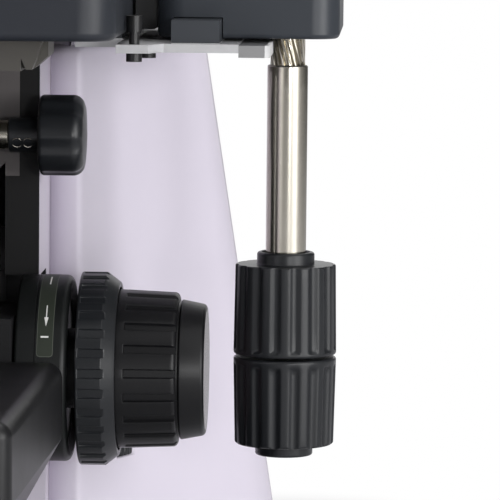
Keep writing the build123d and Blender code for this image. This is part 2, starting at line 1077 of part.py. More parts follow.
def pinion_section(teeth, module, turn):
    """Section of a small pinion with straight-flanked teeth."""
    pitch = teeth * module / 2
    points = []
    for index in range(teeth):
        centre = turn + 2 * pi * index / teeth
        points += tooth_points(centre, pitch + 0.96 * module, pitch, pitch - 1.25 * module, module)
    return Polygon(*points, align=None)


def comb_points(count, pitch, module, backing):
    """Rack teeth along +X with their tips towards +Y, on a strip below the roots."""
    points = [(0, -backing)]
    for index in range(count):
        centre = pitch * (index + 0.5)
        points += [
            (centre - rack_root_share * module, 0),
            (centre - rack_tip_share * module, 2.15 * module),
            (centre + rack_tip_share * module, 2.15 * module),
            (centre + rack_root_share * module, 0),
        ]
    points.append((pitch * count, -backing))
    return points


def make_coarse_shaft():
    """Hollow shaft through the frame, with the focusing pinion cut on its middle."""
    core = rod(coarse_core, (-coarse_start, focus_y, focus_z), (coarse_start, focus_y, focus_z))
    end = rod(
        coarse_radius,
        (coarse_start, focus_y, focus_z),
        (ring_end_x - ring_nest - ring_nest_gap, focus_y, focus_z),
    )
    plane = Plane(origin=(-lift_half, focus_y, focus_z), x_dir=(0, 1, 0), z_dir=(1, 0, 0))
    section = plane * pinion_section(lift_teeth, lift_module, 0)
    teeth = drawn(section, (1, 0, 0), 2 * lift_half)
    bore = rod(
        spindle_radius + running,
        (-ring_end_x, focus_y, focus_z),
        (ring_end_x, focus_y, focus_z),
    )
    return core + both_sides(end) + teeth - bore


def make_coarse_ring():
    outline = [
        (coarse_radius, 0),
        (ring_radius - ring_pocket_margin, 0),
        (ring_radius, ring_pocket_margin),
        (ring_radius, ring_width - ring_chamfer),
        (ring_radius - ring_bevel, ring_width),
        (fine_radius + ring_nest_gap, ring_width),
        (fine_radius + ring_nest_gap, ring_width - ring_nest),
        (coarse_radius, ring_width - ring_nest),
    ]
    ring = lathe(outline, (ring_x, focus_y, focus_z), (1, 0, 0))
    length = ring_width - ring_chamfer - 2 * ring_pocket_margin
    cutter = Box(ring_pocket_depth * 2, ring_pocket_width, length, align=(Align.CENTER, Align.CENTER, Align.MIN))
    places = PolarLocations(ring_radius, ring_pockets)
    start = Plane(origin=(ring_x + 2 * ring_pocket_margin, focus_y, focus_z), z_dir=(1, 0, 0))
    return ring - [start.location * place * cutter for place in places]


def make_fine_spindle():
    end = fine_end_x + cap_width / 2
    return rod(spindle_radius, (-end, focus_y, focus_z), (end, focus_y, focus_z))


def make_fine_knob():
    length = cap_end_x - fine_x
    half = fine_width
    bore_end = half + cap_width / 2
    outline = [
        (0, bore_end),
        (spindle_radius, bore_end),
        (spindle_radius, 0),
        (fine_radius - fine_edge, 0),
        (fine_radius, fine_edge),
        (fine_end_radius, half - fine_edge),
        (fine_end_radius - fine_edge, half),
        (cap_radius - cap_edge / 3, half),
        (cap_radius, half + cap_edge / 3),
        (cap_end_radius, length - cap_edge),
        (cap_end_radius - cap_edge / 3, length - cap_edge / 3),
        (cap_end_radius - cap_edge, length),
        (cap_end_radius - 2 * cap_edge, length - cap_dish),
        (0, length - cap_dish),
    ]
    knob = lathe(outline, (fine_x, focus_y, focus_z), (1, 0, 0))
    slot_length = half - fine_shoulder - fine_groove_margin
    cutter = Box(
        2 * fine_groove_depth,
        fine_groove_width,
        slot_length,
        align=(Align.CENTER, Align.CENTER, Align.MIN),
    )
    mean = (fine_radius + fine_end_radius) / 2
    places = PolarLocations(mean, fine_grooves)
    start = Plane(origin=(fine_x + fine_shoulder, focus_y, focus_z), z_dir=(1, 0, 0))
    return knob - [start.location * place * cutter for place in places]


# Focusing slide and turret

def turret_axis():
    tilt = radians(turret_tilt)
    return Vector(0, sin(tilt), cos(tilt))


def apex():
    return Vector(0, optical_y, apex_z)


def along_turret(distance):
    return tuple(apex() + turret_axis() * distance)


def objective_direction(index):
    """Direction of one objective; the first stands upright on the optical axis."""
    turn = 360 * index / objective_count
    return Vector(0, 0, 1).rotate(Axis((0, 0, 0), tuple(turret_axis())), turn)


def make_guide_rails():
    low = pocket_floor_z + overrun
    rail = block(
        (rail_place - rail_half, pocket_back_y - rail_height, low),
        (rail_place + rail_half, pocket_back_y, low + rail_length),
    )
    return both_sides(rail)


def lift_rack():
    """Rack strip on the front of the slide, its teeth towards the pinion."""
    pitch = pi * lift_module
    low = pocket_floor_z + slide_bottom_gap
    count = floor((frame_top_z - low) / pitch)
    root_y = focus_y + lift_pitch + 1.15 * lift_module
    shift = focus_z - pitch * round((focus_z - low) / pitch)
    plane = Plane(origin=(-lift_half, root_y, shift), x_dir=(0, 0, 1), z_dir=(1, 0, 0))
    comb = Polygon(*comb_points(count, pitch, lift_module, lift_backing), align=None)
    return drawn(plane * comb, (1, 0, 0), 2 * lift_half)


def make_nosepiece_carrier():
    front_y = focus_y + lift_pitch + 1.15 * lift_module + lift_backing
    back_y = pocket_back_y - slide_back_gap
    low = pocket_floor_z + slide_bottom_gap
    high = apex_z + seat_distance - slide_rise
    plate = block((-slide_half, front_y, low), (slide_half, back_y, high))
    web = block(
        (-slide_block_half, front_y, high - slide_block_drop),
        (slide_block_half, optical_y, high),
    )
    plate_top = sqrt(inner_dome() ** 2 - hub_plate ** 2) - hub_plate_gap
    rib = block(
        (-slide_block_half, front_y, high - slide_block_drop),
        (slide_block_half, optical_y + slide_rib_reach, high - slide_rib_drop),
    )
    dish = rod(hub_plate, along_turret(plate_top - hub_plate_thickness), along_turret(plate_top))
    hub_face = inner_dome() - turret_hub_drop
    shoulder = rod(turret_shoulder, along_turret(plate_top), along_turret(hub_face - sliding))
    pin = rod(turret_pin, along_turret(plate_top), along_turret(outer_dome() - pin_top_gap))
    body = plate + web + rib + dish + shoulder + pin
    groove = block(
        (rail_place - rail_half - sliding, back_y - rail_height - slide_back_gap / 2, low - overrun),
        (rail_place + rail_half + sliding, back_y + overrun, frame_top_z + overrun),
    )
    light = rod(carrier_hole, (0, optical_y, frame_top_z), (0, optical_y, apex_z + seat_distance))
    return body - both_sides(groove) - light + lift_rack()


def inner_dome():
    return outer_dome() - dome_thickness


def outer_dome():
    return seat_distance - dome_top_gap


def make_turret():
    """Domed disc with a threaded seat for each objective."""
    angle = radians(dome_angle)
    outer = Sphere(outer_dome()) - Sphere(inner_dome())
    cone_height = outer_dome() + overrun
    cone = lathe([(0, 0), (cone_height * tan(angle), cone_height), (0, cone_height)], (0, 0, 0), (0, 0, 1))
    dome = Plane(origin=apex(), z_dir=turret_axis()).location * (outer & cone)
    hub = rod(turret_hub, along_turret(inner_dome() - turret_hub_drop), along_turret(outer_dome() - overrun))
    body = dome + hub
    for index in range(objective_count):
        way = objective_direction(index)
        low = apex() + way * (seat_distance - seat_boss_length)
        body = body + rod(seat_boss, tuple(low), tuple(apex() + way * seat_distance))
    pin = rod(turret_pin + running, along_turret(0), along_turret(seat_distance))
    body = body - pin
    for index in range(objective_count):
        way = objective_direction(index)
        neck = apex() + way * (seat_distance - thread_length - thread_gap)
        thread = rod(thread_radius + thread_gap, tuple(neck), tuple(apex() + way * (seat_distance + overrun)))
        light = rod(light_hole, tuple(apex() + way * (seat_distance / 2)), tuple(neck + way))
        body = body - thread - light
    return body


def make_objective(name, index):
    spec = objective_specs[name]
    length = parfocal - spec["working"]
    cone_start = length - spec["nose"]
    flange_end = objective_flange_length + objective_base
    waist_end = flange_end + objective_waist_length
    outline = [
        (0, -thread_length),
        (thread_radius, -thread_length),
        (thread_radius, 0),
        (objective_flange - objective_base, 0),
        (objective_flange, objective_base),
        (objective_flange, flange_end),
        (objective_waist, flange_end),
        (objective_waist, waist_end),
        (spec["barrel"], waist_end),
        (spec["barrel"], cone_start),
        (spec["tip"] + objective_base, length - objective_base),
        (spec["tip"], length),
        (spec["tip"] / 2, length),
        (spec["tip"] / 2, length - objective_base / 2),
        (0, length - objective_base / 2),
    ]
    way = objective_direction(index)
    return lathe(outline, tuple(apex() + way * seat_distance), tuple(way))


# Selector

def make_selector_shaft():
    end = selector_x + selector_width / 2
    return rod(selector_shaft, (selector_start, focus_y, selector_z), (end, focus_y, selector_z))


def make_selector_knob():
    blend = selector_edge / 3
    neck_length = selector_x - selector_neck_x
    bore_end = neck_length + selector_width / 2
    end = neck_length + selector_width
    outline = [
        (0, bore_end),
        (selector_shaft, bore_end),
        (selector_shaft, 0),
        (selector_neck, 0),
        (selector_neck, neck_length),
        (selector_radius - blend, neck_length),
        (selector_radius, neck_length + blend),
        (selector_radius, end - selector_edge),
        (selector_radius - blend, end - blend),
        (selector_radius - selector_edge, end),
        (0, end + selector_dome),
    ]
    start = (selector_neck_x, focus_y, selector_z)
    knob = lathe(outline, start, (1, 0, 0))
    depth = selector_dome + selector_flute_depth
    section = notched(selector_radius + selector_dome, selector_flutes, selector_flute_radius, depth, selector_turned)
    plane = Plane(origin=Vector(*start), x_dir=(0, -1, 0), z_dir=(1, 0, 0))
    knob = knob & drawn(plane * section, (1, 0, 0), end + overrun)
    screws = []
    for index in (0, 1):
        place = selector_neck_x + screw_first + index * screw_pitch
        tip_y = focus_y - selector_neck
        screws.append(rod(screw_radius, (place, tip_y - overrun, selector_z), (place, tip_y + screw_depth, selector_z)))
    return knob - screws


# Mechanical stage: fixed track, rack and screws

def track_holes():
    first = (screw_one_x, track_front_y + screw_one_inset)
    second = (screw_two_x, track_front_y + screw_two_inset)
    return first, second


def make_stage_track():
    slant = track_step_x + track_step / 2
    outline = [
        (tongue_x, track_front_y),
        (track_step_x, track_front_y),
        (slant, track_edge_y),
        (track_outer, track_edge_y),
        (track_outer, track_back_y),
        (track_inner, track_back_y),
        (track_inner, track_front_y + tongue_depth),
        (tongue_x, track_front_y + tongue_depth),
    ]
    plate = plan_prism(outline, track_low_z, track_top_z)
    pad_y = track_front_y + tongue_depth
    pad = block((track_inner, pad_y, track_top_z), (pad_outer, pad_y + pad_length, stage_bottom_z))
    guide_y = track_edge_y + guide_front
    guide = block(
        (guide_inner, guide_y, track_top_z),
        (guide_outer, guide_y + guide_length, track_top_z + guide_height),
    )
    holes = [
        rod(screw_shank, (x, y, track_low_z - overrun), (x, y, track_top_z + overrun)) for x, y in track_holes()
    ]
    return plate + pad + guide - holes


def make_y_rack():
    """Rack bar on the track's edge; its teeth lean back with height, as the pinion's do."""
    bar = block(
        (track_outer, track_edge_y, rack_low_z),
        (rack_root_x - rack_backing, track_edge_y + rack_length, rack_low_z + rack_height),
    )
    pitch = pi * stage_module
    count = floor(rack_length / pitch) - 1
    lean = tan(radians(helix_angle))
    first = floor((control_y - track_edge_y) / pitch)
    start_y = control_y - pitch * first - lean * rack_height / 2
    plane = Plane(origin=(rack_root_x, start_y, rack_low_z), x_dir=(0, 1, 0), z_dir=(0, 0, -1))
    comb = Polygon(*comb_points(count, pitch, stage_module, rack_backing), align=None)
    teeth = drawn(plane * comb, (0, lean, 1), rack_height / cos(radians(helix_angle)))
    return bar + teeth


def make_track_screws():
    screws = []
    middle = (track_low_z + track_top_z) / 2
    for place, tall in zip(track_holes(), (True, False)):
        x, y = place
        lower_end = middle if tall else track_top_z
        head = rod(head_radius, (x, y, track_low_z - head_height), (x, y, track_low_z))
        screws.append(head + rod(screw_shank, (x, y, track_low_z), (x, y, lower_end)))
        if tall:
            head_low = track_top_z + cap_head_gap
            head_high = head_low + cap_head_height
            shank = rod(screw_shank, (x, y, middle), (x, y, head_low))
            cap = rod(cap_head_radius, (x, y, head_low), (x, y, head_high))
            plane = Pos(x, y, head_high - socket_depth)
            socket = extrude(plane * RegularPolygon(socket_radius, 6), socket_depth + overrun)
            screws.append(shank + cap - socket)
    return Compound(screws)


# Carriage and coaxial control

def make_carriage_box():
    box = pillow(
        (box_x, box_front_y, box_low_z),
        (box_end_x, box_back_y, box_top_z),
        box_corner,
    )
    box = fillet(box.faces().sort_by(Axis.Z)[0].edges(), box_low_edge)
    box = fillet(box.faces().sort_by(Axis.Z)[-1].edges(), box_low_edge)
    channel = block(
        (guide_inner - sliding, box_front_y - overrun, box_low_z - overrun),
        (guide_outer + sliding, box_back_y + overrun, track_top_z + guide_height + sliding),
    )
    way = block(
        (box_x - overrun, bar_front_y - 2.15 * cross_module - sliding, bar_low_z - sliding),
        (box_end_x + overrun, bar_front_y + bar_depth + sliding, bar_high_z + sliding),
    )
    axis = (control_x, control_y)
    low_room = rod(
        stage_tip + tooth_room,
        (*axis, box_low_z - overrun),
        (*axis, pinion_top_z + sliding),
    )
    journal = rod(journal_radius + running, (*axis, pinion_top_z), (*axis, bar_low_z))
    high_room = rod(stage_tip + tooth_room, (*axis, bar_low_z - 2 * sliding), (*axis, bar_high_z + sliding))
    top_bore = rod(inner_radius + running, (*axis, bar_high_z), (*axis, bar_high_z + box_roof / 2 + sliding))
    return box - channel - way - low_room - journal - high_room - top_bore


def make_y_pinion_shaft():
    """Hollow steel shaft of the fore-and-aft drive with a helical pinion at its top."""
    axis = (control_x, control_y)
    turn_per_mm = -tan(radians(helix_angle)) / stage_pitch
    height = pinion_top_z - tube_top_z
    start_turn = -turn_per_mm * (rack_mid_z - tube_top_z)
    section = Pos(*axis, tube_top_z) * pinion_section(stage_teeth, stage_module, start_turn)
    teeth = Solid.extrude_linear_with_rotation(
        section.face(),
        (*axis, tube_top_z),
        (0, 0, height),
        degrees(turn_per_mm * height),
    )
    journal = rod(journal_radius, (*axis, pinion_top_z), (*axis, bar_low_z - 3 * sliding))
    shaft = rod(tube_radius, (*axis, upper_knob_z), (*axis, tube_top_z))
    shaft = chamfer(shaft.edges().filter_by(GeomType.CIRCLE).sort_by(Axis.Z)[-1], sliding)
    bore = rod(inner_radius + running, (*axis, upper_knob_z - overrun), (*axis, bar_low_z))
    return Part() + shaft + teeth + journal - bore


def knob_cutter(start, radius, low, high):
    """The round bars that cut the flutes of a knob between two heights."""
    reach = radius + knob_flute_radius - knob_flute_depth
    places = PolarLocations(reach, knob_flutes, start_angle=knob_turned)
    bars = Sketch() + places * Circle(knob_flute_radius)
    return extrude(Pos(start[0], start[1], start[2] + low) * bars, high - low)


def make_y_knob():
    top = upper_knob_height
    collar_top = top + collar_height - overrun
    outline = [
        (tube_radius, 0),
        (upper_knob_low - knob_edge, 0),
        (upper_knob_low, knob_edge),
        (upper_knob_top, top - knob_edge / 2),
        (upper_knob_top - knob_edge / 2, top),
        (collar_radius, top),
        (collar_radius, collar_top),
        (collar_radius - control_cup, collar_top),
        (tube_radius, collar_top - control_cup),
    ]
    start = (control_x, control_y, upper_knob_z)
    mean = (upper_knob_low + upper_knob_top) / 2
    return lathe(outline, start, (0, 0, 1)) - knob_cutter(start, mean, knob_band, top + overrun)


def make_x_spindle():
    axis = (control_x, control_y)
    top_z = bar_high_z + box_roof / 2
    core = rod(inner_radius, (*axis, lower_knob_z + knob_gap), (*axis, top_z))
    plane = Pos(*axis, bar_low_z)
    teeth = extrude(plane * pinion_section(cross_teeth, cross_module, pi / 2), bar_height)
    return core + teeth


def make_x_knob():
    top = lower_knob_height
    outline = [
        (0, -lower_cap_height),
        (lower_cap - knob_edge / 2, -lower_cap_height),
        (lower_cap, knob_edge / 2 - lower_cap_height),
        (lower_cap, 0),
        (lower_knob_low - knob_chamfer, 0),
        (lower_knob_low, knob_chamfer),
        (lower_knob_top, top - knob_edge / 2),
        (lower_knob_top - knob_edge / 2, top),
        (inner_radius, top),
        (inner_radius, knob_gap),
        (0, knob_gap),
    ]
    start = (control_x, control_y, lower_knob_z)
    mean = (lower_knob_low + lower_knob_top) / 2
    return lathe(outline, start, (0, 0, 1)) - knob_cutter(start, mean, -overrun, top - 2 * knob_band)


# Cross bar and specimen holder

def make_x_bar():
    start_x = -holder_half
    end_x = control_x + cross_travel + bar_tail
    bar = block((start_x, bar_front_y, bar_low_z), (end_x, bar_front_y + bar_depth, bar_high_z))
    pitch = pi * cross_module
    count = 2 * floor((cross_travel + bar_tail) / pitch)
    first_x = control_x - pitch * count / 2
    plane = Plane(origin=(first_x, bar_front_y, bar_low_z), x_dir=(1, 0, 0), z_dir=(0, 0, -1))
    comb = Polygon(*comb_points(count, pitch, cross_module, cross_module), align=None)
    return bar + drawn(plane * comb, (0, 0, 1), bar_height)


def make_specimen_holder():
    plate = pillow(
        (-holder_half, optical_y - holder_front, holder_low_z),
        (holder_half, optical_y + holder_back, bar_low_z),
        holder_corner,
    )
    opening = pillow(
        (-slot_half, optical_y - slot_depth / 2, holder_low_z - overrun),
        (slot_half, optical_y + slot_depth / 2, bar_low_z + overrun),
        slot_corner,
    )
    pin_hole = rod(
        clip_pin + running,
        (clip_x, optical_y + clip_back, holder_low_z - overrun),
        (clip_x, optical_y + clip_back, bar_low_z + overrun),
    )
    return plate - opening - pin_hole


def make_specimen_clip():
    low = bar_low_z + sliding
    high = low + clip_thickness
    pivot = Vector(clip_x, optical_y + clip_back)
    tip = pivot + Vector(-clip_lean, -clip_reach)
    ring = rod(clip_width, (pivot.X, pivot.Y, low), (pivot.X, pivot.Y, high))
    nub = rod(clip_width / 2, (tip.X, tip.Y, low), (tip.X, tip.Y, high))
    middle = (pivot + tip) / 2
    angle = degrees(asin(clip_lean / (tip - pivot).length))
    arm = Pos(middle.X, middle.Y, low) * Rot(0, 0, -angle) * Box(
        clip_width,
        (tip - pivot).length,
        clip_thickness,
        align=(Align.CENTER, Align.CENTER, Align.MIN),
    )
    pin = rod(clip_pin, (pivot.X, pivot.Y, holder_low_z + sliding), (pivot.X, pivot.Y, low))
    return ring + nub + arm + pin


# Head column, head and eyepieces

def head_way():
    tilt = radians(head_tilt)
    return Vector(0, -sin(tilt), cos(tilt))


def head_up():
    tilt = radians(head_tilt)
    return Vector(0, cos(tilt), sin(tilt))


def head_origin():
    return Vector(0, relay_y - head_front, head_top_z + head_rise)


def make_head_column():
    low = Pos(0, relay_y, nose_top_z) * RectangleRounded(head_column_x, head_column_y, head_column_corner)
    high = Pos(0, relay_y, head_top_z) * RectangleRounded(head_column_top_x, head_column_top_y, head_column_corner)
    body = loft([low, high])
    bore = rod(head_bore, (0, relay_y, nose_top_z - overrun), (0, relay_y, head_top_z + overrun))
    return body - bore


def make_head_body():
    """Prism housing on its round collar, with the upright camera port behind the eyepieces."""
    face_low = head_origin() - head_up() * head_face_low
    face_high = head_origin() + head_up() * head_face_high
    back_y = relay_y + head_back
    collar_top = head_top_z + head_collar_height
    outline = [
        (face_low.Y, face_low.Z),
        (face_high.Y, face_high.Z),
        (back_y, face_high.Z),
        (back_y, collar_top),
        (relay_y - head_collar, collar_top),
    ]
    body = side_prism(outline, -head_half, head_half)
    body = fillet(body.edges().filter_by(Axis.X), head_round)
    collar = rod(head_collar, (0, relay_y, head_top_z), (0, relay_y, collar_top + head_collar_height))
    port_y = back_y - port_radius
    top = face_high.Z
    port = rod(port_radius, (0, port_y, top - head_round), (0, port_y, top + port_length))
    bore = rod(port_bore, (0, port_y, top + port_length - port_depth), (0, port_y, top + port_length + overrun))
    pin_hole = rod(swing_pin + running, tuple(head_origin() - head_way() * head_round), tuple(head_origin() + head_way()))
    return body + collar + port - bore - pin_hole


def head_point(right, up, out):
    """A point on the inclined face: sideways, up the slope, and out along the tubes."""
    return tuple(head_origin() + Vector(1, 0, 0) * right + head_up() * up + head_way() * out)


def swing_link(side, low, high):
    """Level plate from the swing axis to one eyepiece tube."""
    turn = radians(swing_rest)
    centre_x = side * swing_arm * cos(turn)
    centre_y = swing_arm * sin(turn)
    half = swing_hub
    length = swing_arm
    plane = Plane(origin=Vector(*head_point(0, 0, low)), x_dir=(1, 0, 0), z_dir=head_way())
    hub = Circle(half)
    boss = Pos(centre_x, centre_y) * Circle(swing_boss)
    angle = swing_rest if side > 0 else 180 - swing_rest
    web = Pos(centre_x / 2, centre_y / 2) * Rot(0, 0, angle) * Rectangle(length, 2 * half)
    return drawn(plane * (hub + boss + web), head_way(), high - low)


def eye_centre(side):
    turn = radians(swing_rest)
    return side * swing_arm * cos(turn), swing_arm * sin(turn)


def make_eyetube(side):
    low = sliding if side > 0 else 2 * sliding + swing_thickness
    high = low + swing_thickness
    top = 2 * (sliding + swing_thickness)
    link = swing_link(side, low, high)
    across, up = eye_centre(side)
    boss = rod(swing_boss, head_point(across, up, sliding), head_point(across, up, top))
    barrel = rod(tube_outer, head_point(across, up, top), head_point(across, up, top + tube_reach))
    bore = rod(tube_inner, head_point(across, up, sliding + overrun), head_point(across, up, top + tube_reach + overrun))
    body = link + boss + barrel - bore
    if side > 0:
        pin = rod(swing_pin, head_point(0, 0, sliding - head_round), head_point(0, 0, top))
        return body + pin
    return body - rod(swing_pin + running, head_point(0, 0, low - overrun), head_point(0, 0, top + overrun))


def make_eyepiece(side):
    across, up = eye_centre(side)
    top = 2 * (sliding + swing_thickness) + tube_reach
    length = eyepiece_length
    outline = [
        (0, -eyepiece_seat),
        (tube_inner - running, -eyepiece_seat),
        (tube_inner - running, 0),
        (eyepiece_radius, 0),
        (eyepiece_radius, length - eyecup_length),
        (eyecup_radius, length - eyecup_length + knob_edge),
        (eyecup_radius - knob_edge, length),
        (eye_lens + knob_edge, length),
        (eye_lens, length - knob_chamfer),
        (0, length - knob_edge),
    ]
    return lathe(outline, head_point(across, up, top), tuple(head_way()))


def make_diopter_ring():
    across, up = eye_centre(-1)
    low = 2 * (sliding + swing_thickness) + ring_clear
    plane = Plane(origin=Vector(*head_point(across, up, low)), z_dir=head_way())
    section = notched(diopter_radius, diopter_notches, knob_edge, knob_edge / 2)
    ring = drawn(plane * section, head_way(), diopter_length)
    bore = rod(tube_outer + running, head_point(across, up, low - overrun), head_point(across, up, low + diopter_length + overrun))
    return ring - bore


# Light arm and lamp

def make_arm_pillar():
    low = (-pillar_half, pillar_front_y, deck_z)
    high = (pillar_half, pillar_back_y, arm_low_z)
    body = pillow(low, high, pillar_corner)
    hollow = pillow(
        (pillar_wall - pillar_half, pillar_front_y + pillar_wall, deck_z - overrun),
        (pillar_half - pillar_wall, pillar_back_y - pillar_wall, arm_low_z - pillar_wall),
        pillar_corner - pillar_wall / 2,
    )
    rail = block(
        (-guide_half, pillar_front_y - guide_proud, stage_top_z + guide_low),
        (guide_half, pillar_front_y + pillar_wall / 2, stage_top_z + guide_high),
    )
    return body - hollow + rail


def make_lamp_arm():
    low = (-arm_half, optical_y - arm_front, arm_low_z)
    high = (arm_half, pillar_back_y, arm_top_z)
    body = pillow(low, high, arm_corner)
    body = fillet(body.faces().sort_by(Axis.Z)[-1].edges(), arm_wall)
    hollow = pillow(
        (arm_wall - arm_half, optical_y - arm_front + arm_wall, arm_low_z + arm_wall),
        (arm_half - arm_wall, pillar_back_y - arm_wall, arm_top_z - arm_wall),
        arm_corner - arm_wall,
    )
    spigot = lathe(
        [
            (0, 0),
            (spigot_radius + spigot_lip, 0),
            (spigot_radius + spigot_lip, spigot_lip),
            (spigot_radius, spigot_lip),
            (spigot_radius, spigot_length + arm_wall),
            (0, spigot_length + arm_wall),
        ],
        (0, optical_y, arm_low_z - spigot_length),
        (0, 0, 1),
    )
    light = rod(
        spigot_bore,
        (0, optical_y, arm_low_z - spigot_length - overrun),
        (0, optical_y, arm_low_z + arm_wall + overrun),
    )
    return body - hollow + spigot - light


def make_lamp_housing():
    start = (0, optical_y, arm_top_z)
    outline = [
        (0, 0),
        (lamp_radius - fin_gap, 0),
        (lamp_radius, fin_gap),
        (lamp_radius, lamp_height - fin_gap),
        (lamp_radius - fin_gap, lamp_height),
        (0, lamp_height),
    ]
    body = lathe(outline, start, (0, 0, 1))
    pitch = 2 * fin_gap
    first = arm_top_z + lamp_height - 2 * fin_gap - pitch * lamp_fins
    grooves = []
    for index in range(lamp_fins):
        low = first + index * pitch
        grooves.append(tube(lamp_radius + overrun, lamp_radius - fin_depth, (0, optical_y, low), (0, optical_y, low + fin_gap)))
    return body - grooves


def make_collector_lens():
    low = arm_low_z - spigot_length + spigot_lip
    return rod(spigot_bore - lens_gap, (0, optical_y, low), (0, optical_y, low + collector_thickness))


def make_field_ring():
    low = arm_low_z - spigot_length + spigot_lip + sliding
    section = notched(field_radius, field_notches, knob_edge, knob_edge / 2)
    ring = extrude(Pos(0, optical_y, low) * section, field_length)
    bore = rod(spigot_radius + running, (0, optical_y, low - overrun), (0, optical_y, low + field_length + overrun))
    return ring - bore


# Condenser

def make_condenser_carrier():
    """Bracket on the pillar's rail, with a ring that the condenser drops into."""
    top = flange_z
    back = pillar_front_y - sliding
    clamp = block((-carrier_half, back - carrier_depth, top - carrier_height), (carrier_half, back, top))
    arm = block(
        (-carrier_arm_half, optical_y, top - carrier_arm_height),
        (carrier_arm_half, back - carrier_depth, top),
    )
    ring = rod(carrier_ring, (0, optical_y, top - carrier_arm_height), (0, optical_y, top))
    bore = rod(carrier_bore, (0, optical_y, top - carrier_arm_height - overrun), (0, optical_y, top + overrun))
    channel = block(
        (-guide_half - sliding, pillar_front_y - guide_proud - sliding, top - carrier_height - overrun),
        (guide_half + sliding, back + overrun, top + overrun),
    )
    return clamp + arm + ring - bore - channel


def iris_z():
    return flange_z - carrier_arm_height - iris_drop


def make_condenser_body():
    nose_end = condenser_nose_length
    body_end = nose_end + condenser_body_length
    end = body_end + condenser_flange_length
    outline = [
        (0, 0),
        (condenser_nose, 0),
        (condenser_body, nose_end),
        (condenser_body, body_end),
        (condenser_flange, body_end),
        (condenser_flange, end - knob_chamfer),
        (condenser_flange - knob_chamfer, end),
        (0, end),
    ]
    body = lathe(outline, (0, optical_y, condenser_z), (0, 0, 1))
    low = iris_z()
    cavity = tube(iris_outer + sliding, iris_inner - sliding, (0, optical_y, low - sliding), (0, optical_y, low + iris_height + sliding))
    reach = 2 * condenser_body
    half = radians(iris_angle)
    sector = plan_prism(
        [
            (0, optical_y),
            (reach * cos(half), optical_y - reach * sin(half)),
            (reach * cos(half), optical_y + reach * sin(half)),
        ],
        low - sliding,
        low + iris_height + sliding,
    )
    core = rod(iris_inner - sliding, (0, optical_y, low - overrun), (0, optical_y, low + iris_height + overrun))
    slot_z = flange_z + slider_rise
    slot = block(
        (-condenser_flange - overrun, optical_y - slider_half - sliding, slot_z - sliding),
        (condenser_flange + overrun, optical_y + slider_half + sliding, slot_z + slider_thickness + sliding),
    )
    return body - cavity - (sector - core) - slot


def make_aperture_lever():
    low = iris_z()
    high = low + iris_height
    ring = tube(iris_outer, iris_inner, (0, optical_y, low), (0, optical_y, high))
    bar = block(
        (iris_outer - overrun, optical_y - lever_half, low),
        (lever_reach, optical_y + lever_half, high),
    )
    tip = rod(lever_tip, (lever_reach, optical_y, low - lever_half), (lever_reach, optical_y, high + lever_half))
    return ring + bar + tip


def make_phase_slider():
    low = flange_z + slider_rise
    high = low + slider_thickness
    bar = block((-slider_length, optical_y - slider_half, low), (slider_length, optical_y + slider_half, high))
    holes = [
        rod(slider_hole, (step * slider_pitch, optical_y, low - overrun), (step * slider_pitch, optical_y, high + overrun))
        for step in (-1, 0, 1)
    ]
    return bar - holes


# Brightness wheel, inlet and switch

def make_brightness_wheel():
    low = (wheel_x, wheel_y, wheel_z)
    section = notched(wheel_radius, wheel_notches, wheel_notch, wheel_notch / 2)
    wheel = extrude(Pos(*low) * section, wheel_width)
    pin = rod(wheel_pin, (wheel_x, wheel_y, wheel_z - sliding - wheel_shelf), low)
    return wheel + pin


def make_power_inlet():
    front = stand_back_y - inlet_depth
    low = inlet_z
    high = inlet_z + inlet_height
    centre = -inlet_x
    body = block((centre - inlet_half, front, low), (centre + inlet_half, stand_back_y, high))
    rim = block(
        (centre - inlet_half - inlet_rim, stand_back_y, low - inlet_rim),
        (centre + inlet_half + inlet_rim, stand_back_y + inlet_proud, high + inlet_rim),
    )
    hollow = block(
        (centre - inlet_half + inlet_rim, stand_back_y + inlet_proud - inlet_cavity, low + inlet_rim),
        (centre + inlet_half - inlet_rim, stand_back_y + inlet_proud + overrun, high - inlet_rim),
    )
    blades = []
    middle = (low + high) / 2
    for step in (-1, 0, 1):
        x = centre + step * blade_pitch
        blades.append(
            block(
                (x - blade_half, stand_back_y - inlet_cavity, middle - blade_height / 2),
                (x + blade_half, stand_back_y - blade_half, middle + blade_height / 2),
            )
        )
    return body + rim - hollow + blades


def switch_axis_y():
    return stand_back_y - switch_depth / 2


def make_power_rocker():
    """Rocker whose two halves slope away from its pivot, stored with its lower half in."""
    axis_y = switch_axis_y()
    middle = inlet_z + switch_height
    half = switch_height - switch_relief
    reach = half * cos(radians(switch_angle))
    rise = half * sin(radians(switch_angle))
    outline = [
        (axis_y - switch_depth / 3, middle - reach / 2),
        (axis_y, middle - reach),
        (axis_y + 2 * rise + switch_depth / 3, middle - reach),
        (axis_y + switch_depth / 3, middle),
        (axis_y + 2 * rise + switch_depth / 3, middle + reach),
        (axis_y, middle + reach),
        (axis_y - switch_depth / 3, middle + reach / 2),
    ]
    half_width = switch_half - sliding
    rocker = side_prism(outline, switch_x - half_width, switch_x + half_width)
    rocker = rocker.rotate(Axis((switch_x, axis_y, middle), (1, 0, 0)), switch_angle)
    pin = rod(
        switch_pin,
        (switch_x - switch_half - switch_bezel / 2, axis_y, middle),
        (switch_x + switch_half + switch_bezel / 2, axis_y, middle),
    )
    return rocker + pin


# Every piece by its name

